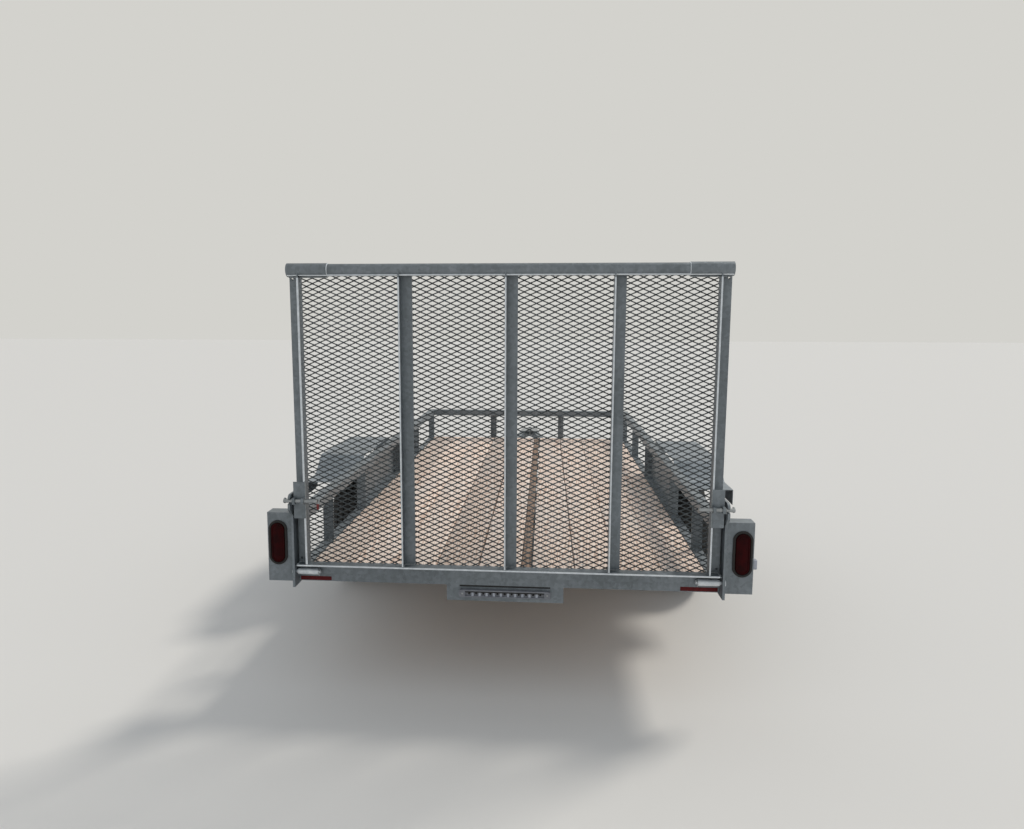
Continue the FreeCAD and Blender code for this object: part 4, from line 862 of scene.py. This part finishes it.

# %% [markdown]
# The light bar: a grey moulded body with round corners, a long window with a black strip of painted shade
# along its top edge, eleven cells divided by pale ribs, a small lamp in every cell, and a screw at each end.
# The window is the body's rear face with a box cut out of it, and the edges left round it are
# rounded.

# %% Light bar body and painted shade at the window's top
LIGHT_HALF, LIGHT_Z, LIGHT_DEPTH, LIGHT_TALL = 198.5, 459.0, 20.0, 16
WINDOW_LEFT, WINDOW_RIGHT, WINDOW_DEPTH = -172.0, 172.0, 7
CELL, CELLS = 31.0, 11
body_piece = block("light_body", (-LIGHT_HALF, -LIGHT_DEPTH, LIGHT_Z - LIGHT_TALL),
                   (LIGHT_HALF, 0, LIGHT_Z + LIGHT_TALL))
soften(body_piece, 8.0, 4, lambda p, way: abs(way.y) > 0.9)
cut_out(body_piece, block("cutter", (WINDOW_LEFT, -LIGHT_DEPTH - 5, LIGHT_Z - 11),
                          (WINDOW_RIGHT, -LIGHT_DEPTH + WINDOW_DEPTH, LIGHT_Z + 10)))
soften(body_piece, 1.2, 2, lambda p, way: p.y < at(0, -LIGHT_DEPTH + 0.5, 0).y and abs(way.y) < 0.1)
# A black strip along the window's top edge, painted shade where the recess is shaded.
window_top_shade = block("window_top_shade", (WINDOW_LEFT, -LIGHT_DEPTH - 0.8, LIGHT_Z + 5.0),
             (WINDOW_RIGHT, -LIGHT_DEPTH + 6, LIGHT_Z + 10.5))
soften(window_top_shade, 1.0, 2, lambda p, way: abs(way.x) > 0.9)
hand_over(body_piece, lamp_body, "chassis", ["light_bar"], angle=30)
hand_over(joined("light_bar_window_top_shade", [window_top_shade]), black_rubber_and_painted_shade, "chassis")

# %% [markdown]
# One lamp of the bar is a short round bar whose end is bevelled into a dome, and one rib a box with
# round upright edges; the others are their copies, 31 mm apart. The two screw heads are domed in
# the same way. A black strip fills the notch in the plate over the bar: painted shade, where shade
# falls through the notch.

# %% Light bar lamps, ribs, screws and painted shade in the notch
FLOOR_Y, DIODE_END, HEAD_END = -LIGHT_DEPTH + WINDOW_DEPTH, -LIGHT_DEPTH + 2.5, -LIGHT_DEPTH - 1.6
LAMP_RADIUS, HALF_RIB = 4.6, 5.5


def domed(piece, end, reach, segments):
    """Bevels the rear end of a short round bar into a dome."""
    plane = at(0, end, 0).y
    return soften(piece, reach, segments, lambda p, way: abs(way.y) < 0.1 and abs(p.y - plane) < 0.2 * MM)


diode = bar("diode", LAMP_RADIUS, (0, FLOOR_Y, LIGHT_Z - 1), (0, DIODE_END, LIGHT_Z - 1), sides=14)
domed(diode, DIODE_END, 3.4, 4)
rib = block("rib", (-HALF_RIB, -LIGHT_DEPTH + 1.5, LIGHT_Z - 10.5), (HALF_RIB, FLOOR_Y, LIGHT_Z + 6))
soften(rib, 1.5, 3, lambda p, way: abs(way.z) > 0.9)
diodes = [twin(diode, "diode", Matrix.Translation(((i - (CELLS - 1) / 2) * CELL * MM, 0, 0)))
          for i in range(CELLS)]
ribs = [twin(rib, "rib", Matrix.Translation(((i - CELLS / 2) * CELL * MM, 0, 0))) for i in range(1, CELLS)]
for spare in (diode, rib):
    bpy.data.objects.remove(spare)
hand_over(joined("light_bar_diodes", diodes), black_rubber_and_painted_shade, "chassis")
hand_over(joined("light_bar_ribs", ribs), clear_cover, "chassis")
heads = [bar("screw", LAMP_RADIUS, (x, -LIGHT_DEPTH + 1, LIGHT_Z), (x, HEAD_END, LIGHT_Z))
         for x in (-185.0, 185.0)]
hand_over(joined("light_bar_screws", [domed(head, HEAD_END, 1.5, 3) for head in heads]), plated, "chassis")
# A black strip in the plate's notch, painted shade.
notch_shade_strip = block("light_bar_notch_shade", (-198.0, -1.0, 483.5), (198.0, 3.0, 490.5))
hand_over(soften(notch_shade_strip, 1.0, 2, lambda p, way: abs(way.x) > 0.9), black_rubber_and_painted_shade, "chassis")

# %% [markdown]
# The side marker on the right-hand lamp box is a small clear lamp: a rubber base with round corners
# and a domed cover, on the box's outer face.

# %% Side marker
BOX_FACE, MARKER_FACE = 1050, 1071.8
marker = block("side_marker_dressed", (BOX_FACE, 8, 590), (MARKER_FACE, 38, 634))
soften(marker, 8.0, 4, lambda p, way: abs(way.x) > 0.9)
outer = at(MARKER_FACE, 0, 0).x
soften(marker, 4.0, 3, lambda p, way: abs(way.x) < 0.2 and p.x > outer - 0.2 * MM)
hand_over(marker, clear_cover, "chassis", ["side_marker"])
base = block("side_marker_base", (BOX_FACE, 5.5, 587.5), (BOX_FACE + 4, 40.5, 636.5))
hand_over(soften(base, 9.0, 4, lambda p, way: abs(way.x) > 0.9), black_rubber_and_painted_shade, "chassis")

# %% [markdown]
# Red reflective tape lies flat on the rear sill at both ends, cut square, with its corners a little
# round so that they don't lift.

# %% Reflective tape
TAPE_LOW, TAPE_HIGH = 493.0, 511.0
tapes = [soften(block("tape", (x0, -0.5, TAPE_LOW), (x1, 0.2, TAPE_HIGH)), 1.5, 2,
                lambda p, way: abs(way.y) > 0.9) for x0, x1 in ((-909.0, -770.0), (752.0, 909.0))]
hand_over(joined("rear_sill_tape", tapes), red_tape, "chassis")

# %% [markdown]
# Gate fittings. A ring clip goes through the tail of each hinge pin: a spring wire bent into nearly
# two turns. It is a small circle of wire section, extruded step by step and turned about the
# ring's middle with a little pitch, and a straight pin of the same wire goes through the tail.

# %% Ring clips
RING_STEPS = 22
PIN_TAIL_X = 813.5


def wire_ring(name, centre, ring, wire, turns, pitch):
    """A spring ring about X: a wire's round section, extruded round and round with a small pitch."""
    middle = at(*centre)
    start = at(centre[0], centre[1], centre[2] + ring)
    leave()
    bpy.ops.mesh.primitive_circle_add(vertices=8, radius=wire * MM, location=start,
                                      rotation=(math.pi / 2, 0, 0), fill_type="NGON")
    piece = settle(name)
    edit(piece)
    pick_all()
    steps = int(RING_STEPS * turns)
    for _ in range(steps):
        bpy.ops.mesh.extrude_region_move()
        bpy.ops.transform.rotate(value=2 * math.pi * turns / steps, orient_axis="X", center_override=middle)
        shift(pitch / steps, 0, 0)
    face_out()
    leave()
    return piece


clips = []
for side in (-1, 1):
    x = side * PIN_TAIL_X
    clips.append(wire_ring("ring", (x - side * 1.3, HINGE_Y - 10, HINGE_Z - 3), 11.0, 1.1, 1.8, 2.6))
    clips.append(bar("pin", 1.2, (x, HINGE_Y, HINGE_Z - 13), (x, HINGE_Y, HINGE_Z + 12), sides=8))
hand_over(joined("hinge_ring_clips", clips), plated, "chassis")

# %% [markdown]
# The left-hand latch rod has a bright pull pin with a small red vinyl grip, the right-hand one a
# bright ring. A collar with a round edge ends each rod. The grip and the collars are spun, and all
# of it leans with the gate.

# %% Latch rod details
LATCH_Y, LATCH_Z, ROD_INNER, ROD_OUTER = -74.0, 873.0, 800.0, 945.0
GRIP = [(0, 0), (0, 3.6), (1.5, 5.2), (20, 5.2), (22, 6.4), (24, 5.2), (24, 0)]
COLLAR = [(0, 0), (0, 10.5), (1.5, 12.0), (6, 12.0), (8, 10.0), (8, 0)]
grip = spun("grip", GRIP, (-ROD_INNER + 4, LATCH_Y - 9, LATCH_Z - 35), "Z", 16)
fittings = [bar("pull", 3.0, (-ROD_INNER + 14, LATCH_Y - 9, LATCH_Z + 16),
                (-ROD_INNER + 2, LATCH_Y - 9, LATCH_Z - 26), sides=10)]
for side in (-1, 1):
    fittings.append(spun("cap", COLLAR, (side * (ROD_OUTER - 3.5) - 4, LATCH_Y, LATCH_Z), "X", 20))
fittings.append(wire_ring("ring", (ROD_INNER + 108, LATCH_Y - 8, LATCH_Z - 6), 9.0, 1.3, 1.6, 3.0))
lean([grip] + fittings)
hand_over(joined("latch_rod_grip", [grip]), red_vinyl, "ramp_gate")
hand_over(joined("latch_rod_fittings", fittings), plated, "ramp_gate")

# %% [markdown]
# Painted highlights on the gate's edges. Where light catches them, the free edges of the gate show
# as pale lines: along the rear edge of each upright's fin and of the bottom angle's fin, under the top
# tube, and round the inner end of each corner sleeve. These lines are painted highlights in near-white
# zinc: boxes with round edges that stand one millimetre proud of the fin, a round bar sunk in the
# tube, and two spun rims.

# %% Painted highlights on the gate's edges
FIN_REAR, FIN_WALL, FIN_TOP, BOTTOM_TOP, SLEEVE_END = -63.0, 5.0, 1815, 582.0, 738.0
GLINT_TURN, GLINT_REACH, GLINT_RADIUS = math.radians(52), 27.0, 3.5
SLEEVE_RIM = [(-2, 25.3), (-2, 27.4), (0, 28.3), (2, 27.4), (2, 25.3), (-2, 25.3)]
FINS = ((-GATE_HALF + 46, 1.8), (GATE_HALF - 51, 1.0)) + tuple((x, 0.8) for x in BAR_PLACES)


def painted_highlight_strip(low, high):
    """One painted highlight strip along an edge."""
    return soften(block("painted_highlight_strip", low, high), 0.7, 2)


edges = [painted_highlight_strip((x - wide, FIN_REAR - 1.2, BOTTOM_TOP + 4), (x + FIN_WALL + wide, FIN_REAR + 1, FIN_TOP))
         for x, wide in FINS]
edges.append(painted_highlight_strip((-902, FIN_REAR - 1.2, BOTTOM_TOP - FIN_WALL - 0.6), (902, FIN_REAR + 1, BOTTOM_TOP + 1.4)))
# Where the painted highlight runs under the top tube.
glint_y = TUBE_Y - GLINT_REACH * math.cos(GLINT_TURN)
glint_z = TUBE_Z - GLINT_REACH * math.sin(GLINT_TURN)
edges.append(bar("glint_line", GLINT_RADIUS, (-905, glint_y, glint_z), (905, glint_y, glint_z), sides=12))
for side in (-1, 1):
    edges.append(spun("rim", SLEEVE_RIM, (side * (SLEEVE_END - 1.5), TUBE_Y, TUBE_Z), "X", 32))
lean(edges)
hand_over(joined("gate_painted_edge_highlights", edges), pale_zinc_and_painted_highlight, "ramp_gate", angle=40)

# %% [markdown]
# Both ends of the front rail and of the gate's top tube are closed with a plate, so that no water
# stands in them. The plates lie inside the tube's mouth, with a round edge where the weld was
# ground: boxes for the square rail, short bars for the round tube.

# %% End plates
RAIL_END, TUBE_END, PLATE_ROUND = 913.3, 905.0, 0.8
rail_ends = [soften(block("plate", (side * RAIL_END - 1.2, 3609, 776), (side * RAIL_END + 1.2, 3656, 823)),
                    PLATE_ROUND, 2) for side in (-1, 1)]
hand_over(joined("rail_end_plates", rail_ends), zinc_frame_with_painted_shade, "chassis")
tube_ends = []
for side in (-1, 1):
    faces = [(side * (TUBE_END + out), TUBE_Y, TUBE_Z) for out in (-1.5, 1.5)]
    plate = bar("plate", 23.5, *faces, sides=32)
    tube_ends.append(soften(plate, PLATE_ROUND, 2, lambda p, way: abs(way.x) < 0.1))
lean(tube_ends)
hand_over(joined("gate_tube_end_plates", tube_ends), zinc_frame_with_painted_shade, "ramp_gate")

# %% [markdown]
# Weld beads. A fillet weld is laid as a row of overlapping ripples, like coins that have slid, and
# on a dipped trailer the zinc rounds it further. One ripple is a ball of forty faces, flattened
# along the run; an array repeats it along the seam, and the seams of one body become one piece.
# Each seam is a start, an end and a leg size; the tables list them where parts meet. First come
# the gate's: each bar and side is welded to the bottom angle and the top tube, across its flat leg
# and along its fin, and the sleeves and the latch plates have beads of their own.

# %% Weld beads on the gate
RIPPLE_STEP, RIPPLE_WIDE, RIPPLE_LONG = 0.62, 0.5, 0.42
leave()
bpy.ops.mesh.primitive_uv_sphere_add(segments=8, ring_count=5, radius=1.0, location=(0, 0, 0))
ripple = settle("ripple")
edit(ripple)
pick("VERT", lambda p, n: p.z > 0.5)
bpy.ops.transform.translate(value=(0.25, 0, 0))
leave()


def seam(start, end, leg):
    """Ripples from a start to an end, in bed millimetres."""
    a = at(*start)
    way = at(*end) - a
    wide = leg * RIPPLE_WIDE * MM
    made = twin(ripple, "seam", Matrix.Translation(a) @ way.to_track_quat("Z", "Y").to_matrix().to_4x4()
                @ Matrix.Diagonal((wide, wide, leg * RIPPLE_LONG * MM, 1)))
    count = max(2, int(way.length / (RIPPLE_STEP * leg * MM)))
    repeat(made, count, way / count)
    return apply_all(made)


gate_seams = []
for x in BAR_PLACES:
    gate_seams += [((x + 6, -18, 1830), (x + 50, -18, 1830), 7),
                   ((x + 6, -19, BOTTOM_TOP + 1), (x + 50, -19, BOTTOM_TOP + 1), 7)]
    for fin_x in (x - 1, x + 6):
        gate_seams += [((fin_x, -20, BOTTOM_TOP + 1), (fin_x, -60, BOTTOM_TOP + 1), 6),
                       ((fin_x, -20, 1828), (fin_x, -36, 1821), 6)]
for side in (-1, 1):
    gate_seams += [((side * 860, -18, BOTTOM_TOP + 1), (side * 902, -18, BOTTOM_TOP + 1), 7),
                   ((side * 902, -20, BOTTOM_TOP + 1), (side * 902, -60, BOTTOM_TOP + 1), 6),
                   ((side * 740, -37, 1817), (side * 905, -37, 1817), 6),
                   ((side * 740, -15.5, 1865), (side * 905, -15.5, 1865), 6),
                   ((side * SLEEVE_END, -64, 1836), (side * SLEEVE_END, -50, 1872), 5),
                   ((side * 822, -21, 555), (side * 904, -21, 555), 7),
                   ((side * 855, -66, 955), (side * 855, -66, 795), 5)]
beads = [seam(*row) for row in gate_seams]
lean(beads)
hand_over(joined("gate_weld_beads", beads), weld_steel, "ramp_gate", angle=60)

# %% [markdown]
# The frame's seams run round every post, at the deck and under the rail, along the lamp boxes and
# hinge plates, at the rails' corners and the fenders' steps, and across the drawbar's members.

# %% Weld beads on the frame
BED_LENGTH, RAIL_LOW, FRAME_LOW = 3658.0, 774.0, 490.0
POST_PLACES, POST_OUT, FENDER_HALF = (0.0, 360.0, 999.5, 2019.5, 2780.0, 3607.0), 908.5, 450
FRONT_POST, FRONT_POST_HALF = 310, 20
TONGUE_TURN, NOSE_X, TONGUE_FRONT = math.radians(8), 37.0, 4800.0


def member_middle(y):
    """How far the middle of a drawbar member is from the trailer's middle at a place along it."""
    return NOSE_X + (TONGUE_FRONT - y) * math.tan(TONGUE_TURN)


frame_seams = []
for side in (-1, 1):
    for y in POST_PLACES:
        for z in (DECK_TOP, RAIL_LOW):
            frame_seams += [((side * POST_OUT, y + 4, z), (side * POST_OUT, y + 48, z), 7),
                            ((side * 867, y - 1, z), (side * 905, y - 1, z), 6)]
    frame_seams += [((side * 924.5, 10, 520), (side * 924.5, 40.5, 520), 6),
                    ((side * 915.5, 41, 492), (side * 915.5, 41, 560), 8),
                    ((side * 866, BED_LENGTH - 51, 779), (side * 866, BED_LENGTH - 51, 820), 6),
                    ((side * 924.5, -13, 500), (side * 924.5, -13, 796), 6),
                    ((side * 915, 3606, 826), (side * 865, 3606, 826), 6)]
    for y in (AXLE_Y - FENDER_HALF, AXLE_Y + FENDER_HALF):
        frame_seams.append(((side * 916, y - 25, 741), (side * 916, y + 25, 741), 7))
    for x in (side * FRONT_POST - FRONT_POST_HALF, side * FRONT_POST + FRONT_POST_HALF):
        frame_seams.append(((x, 3652, DECK_TOP), (x + 5, 3652, DECK_TOP), 6))
    x = side * member_middle(BED_LENGTH)
    frame_seams.append(((x - 24, BED_LENGTH + 1, FRAME_LOW - 1), (x + 24, BED_LENGTH + 1, FRAME_LOW - 1), 8))
beads = [seam(*row) for row in frame_seams]
hand_over(joined("frame_weld_beads", beads), weld_steel, "chassis", angle=60)
bpy.data.objects.remove(ripple)

# %% [markdown]
# The clamps that tie the springs to the axle: on each side two U-bolts of 12 mm bar come up from
# under the axle through a tie plate on the top leaf, with a nut on each leg. A U-bolt is a disc
# pulled down, spun half a turn about the axle's own centre line and pulled up again. Spin turns
# against the right-hand rule, hence the minus sign.

# %% Spring clamps
SPRING_X, LEG_OUT, BOLT_OUT, BOLT = 880.0, 36.3, 30.5, 6.0
TIE_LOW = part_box("spring_clamps")[1].z / MM - 24.0
BOLT_TOP = TIE_LOW + 24
plate = block("tie", (SPRING_X - 42.5, AXLE_Y - 48, TIE_LOW), (SPRING_X + 42.5, AXLE_Y + 48, TIE_LOW + 8))
clamp_parts = [soften(plate, 2.0, 2)]
for x in (SPRING_X - BOLT_OUT, SPRING_X + BOLT_OUT):
    leave()
    bpy.ops.mesh.primitive_circle_add(vertices=14, radius=BOLT * MM, fill_type="NGON",
                                      location=at(x, AXLE_Y - LEG_OUT, BOLT_TOP))
    bolt = settle("u_bolt")
    edit(bolt)
    pick_all()
    pull(0, 0, AXLE_Z - BOLT_TOP)
    bpy.ops.mesh.spin(steps=14, angle=-math.pi, center=at(x, AXLE_Y, AXLE_Z), axis=AXES["X"])
    pull(0, 0, BOLT_TOP - AXLE_Z)
    face_out()
    clamp_parts.append(bolt)
    for y in (AXLE_Y - LEG_OUT, AXLE_Y + LEG_OUT):
        clamp_parts += hex_nut("nut", 10.5, (x, y, TIE_LOW + 8), (x, y, TIE_LOW + 18), 0.5)
hand_over(on_both_sides("spring_clamps_dressed", clamp_parts), black_enamel, "chassis",
          ["spring_clamps"], angle=30)

# %% [markdown]
# The pins through the springs' eyes end in a nut on both sides of their hanger. The eyes' height
# is taken from the frame, because it follows from the spring's curve.

# %% Nuts on the spring pins
SPRING_HALF, CHEEK_OUT, EYE_RADIUS = 320.0, 28.5, 16.0
eye_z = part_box("leaf_spring_right")[1].z / MM - EYE_RADIUS
pin_nuts = []
for y in (AXLE_Y - SPRING_HALF, AXLE_Y + SPRING_HALF):
    for out in (-1, 1):
        x = SPRING_X + out * CHEEK_OUT
        pin_nuts += hex_nut("nut", 11.0, (x, y, eye_z), (x + out * 9, y, eye_z), 0.3)
hand_over(on_both_sides("spring_pin_nuts", pin_nuts), plated, "chassis", angle=30)

# %% [markdown]
# The jack's crank: a 12 mm round bar that rises from the cap, bends outwards, runs along as the arm
# and bends up into the handle, on which a plastic sleeve with ridges turns. A disc is pulled up,
# spun a quarter turn about the first bend's centre, pulled along, spun back about the second and
# pulled up. The jack is turned by the drawbar's angle, and so is the crank, at the end.

# %% Jack crank
HALF_MEMBER, JACK_OUT = 25.75, 79.0
JACK_Y, JACK_TOP, ARM, ARM_RISE, BEND, GRIP_RISE = 4350.0, 806.0, 110.0, 15.0, 12.0, 95.0
RIDGES, RIDGE_STEP = 7, 10
face_x = -(member_middle(JACK_Y) + HALF_MEMBER)
jack_x = face_x - JACK_OUT
arm_z = JACK_TOP + ARM_RISE
pivot = at(face_x, JACK_Y, 0)
JACK_TURN = Matrix.Translation(pivot) @ Matrix.Rotation(-TONGUE_TURN, 4, "Z") @ Matrix.Translation(-pivot)
leave()
bpy.ops.mesh.primitive_circle_add(vertices=16, radius=BOLT * MM, location=at(jack_x, JACK_Y, JACK_TOP - 1),
                                  fill_type="NGON")
crank = settle("crank_bar")
edit(crank)
pick_all()
pull(0, 0, ARM_RISE - BEND + 1)
bpy.ops.mesh.spin(steps=6, angle=math.pi / 2, center=at(jack_x, JACK_Y + BEND, arm_z - BEND), axis=AXES["X"])
pull(0, ARM - 2 * BEND, 0)
bpy.ops.mesh.spin(steps=6, angle=-math.pi / 2, center=at(jack_x, JACK_Y + ARM - BEND, arm_z + BEND),
                  axis=AXES["X"])
pull(0, 0, GRIP_RISE - BEND)
face_out()
sleeve_line = [(0, 0), (0, 9.5), (1.5, 11.0)]
for i in range(RIDGES):
    valley = 8 + RIDGE_STEP * i
    sleeve_line += [(valley - 2, 11.0), (valley, 9.8), (valley + 2, 11.0)]
sleeve_line += [(77, 11.0), (79, 8.5), (79, 0)]
handle = spun("handle", sleeve_line, (jack_x, JACK_Y + ARM, arm_z + 22), "Z", 20)
crank = joined("jack_crank_dressed", [crank, handle])
crank.data.transform(JACK_TURN)
hand_over(crank, plated, "jack", ["jack_crank"])

# %% [markdown]
# Bolts with hexagon heads hold the jack's plate to the drawbar, four in a square, and the coupler,
# two on each side.

# %% Drawbar bolts
HEAD = 9.5
bolts = [piece for y in (JACK_Y - 46, JACK_Y + 46) for z in (431.0, 473.0)
         for piece in hex_nut("bolt", HEAD, (face_x - 7.5, y, z), (face_x - 16, y, z), 0.3)]
for piece in bolts:
    piece.data.transform(JACK_TURN)
for side in (-1, 1):
    for y in (4610.0, 4700.0):
        x = member_middle(y) + HALF_MEMBER + 4.0
        bolts += hex_nut("bolt", HEAD, (side * x, y, 452), (side * (x + 9), y, 452), 0.3)
hand_over(joined("drawbar_bolts", bolts), plated, "chassis", angle=25)

# %% [markdown]
# The studio: a pale floor that runs far back, a soft even sky, and one soft sun from the front
# right, where it stood when the trailer was photographed. The rear faces stay in open shade, while
# tops and right-hand edges are brighter. A sun lamp lights the whole floor evenly, so the floor
# fades into the background, whose colour the world gives to camera and mirror rays alone.

# %% Floor
FLOOR_HALF = 60.0
leave()
bpy.ops.mesh.primitive_plane_add(size=2 * FLOOR_HALF, location=(0, 0, 0))
floor = settle("studio_floor")
floor_paint, _, shader, _ = new_material("pale_floor", Roughness=0.9, Specular_IOR_Level=0.1)
shader.inputs["Base Color"].default_value = linear("#d6d3cd")
floor.data.materials.append(floor_paint)
print("floor", 2 * FLOOR_HALF, "m square")

# %% [markdown]
# The world holds two colours: the soft light that falls on the trailer, and the pale background
# that camera, mirror and glass rays see instead of it, at a strength of one.

# %% Sky
SKY_STRENGTH = 0.80
world = bpy.data.worlds.new("studio_sky")
bpy.context.scene.world = world
world.use_nodes = True
tree = world.node_tree
tree.nodes.clear()
rays = node(tree, "LightPath", {})
soft = node(tree, "Background", {"Color": linear("#e4eaf2"), "Strength": SKY_STRENGTH})
pale = node(tree, "Background", {"Color": linear("#d3d2cd"), "Strength": 1.0})
seen = rays.outputs["Is Camera Ray"]
for ray in ("Is Glossy Ray", "Is Transmission Ray"):
    seen = node(tree, "Math", {0: seen, 1: rays.outputs[ray]}, operation="MAXIMUM").outputs[0]
mixed = node(tree, "MixShader", {0: seen, 1: soft.outputs[0], 2: pale.outputs[0]})
node(tree, "OutputWorld", {"Surface": mixed.outputs[0]})
print("sky strength", SKY_STRENGTH)

# %% [markdown]
# The sun is soft: a disc of twelve degrees, some twenty times as wide as the real one, so that
# shadows have wide edges, and a little warmer than the sky.

# %% Sun
SUN_STRENGTH, SUN_DISC, SUN_FROM = 1.6, math.radians(12), Vector((4.5, 4.0, 6.5))
sun_data = bpy.data.lights.new("soft_sun", "SUN")
sun_data.energy = SUN_STRENGTH
sun_data.angle = SUN_DISC
sun_data.color = (1.0, 0.96, 0.90)
sun = bpy.data.objects.new("soft_sun", sun_data)
bpy.context.scene.collection.objects.link(sun)
sun.matrix_world = (-SUN_FROM).to_track_quat("-Z", "Y").to_matrix().to_4x4()
bpy.context.scene.view_settings.view_transform = "Standard"
print("sun strength", SUN_STRENGTH, "from", tuple(SUN_FROM))
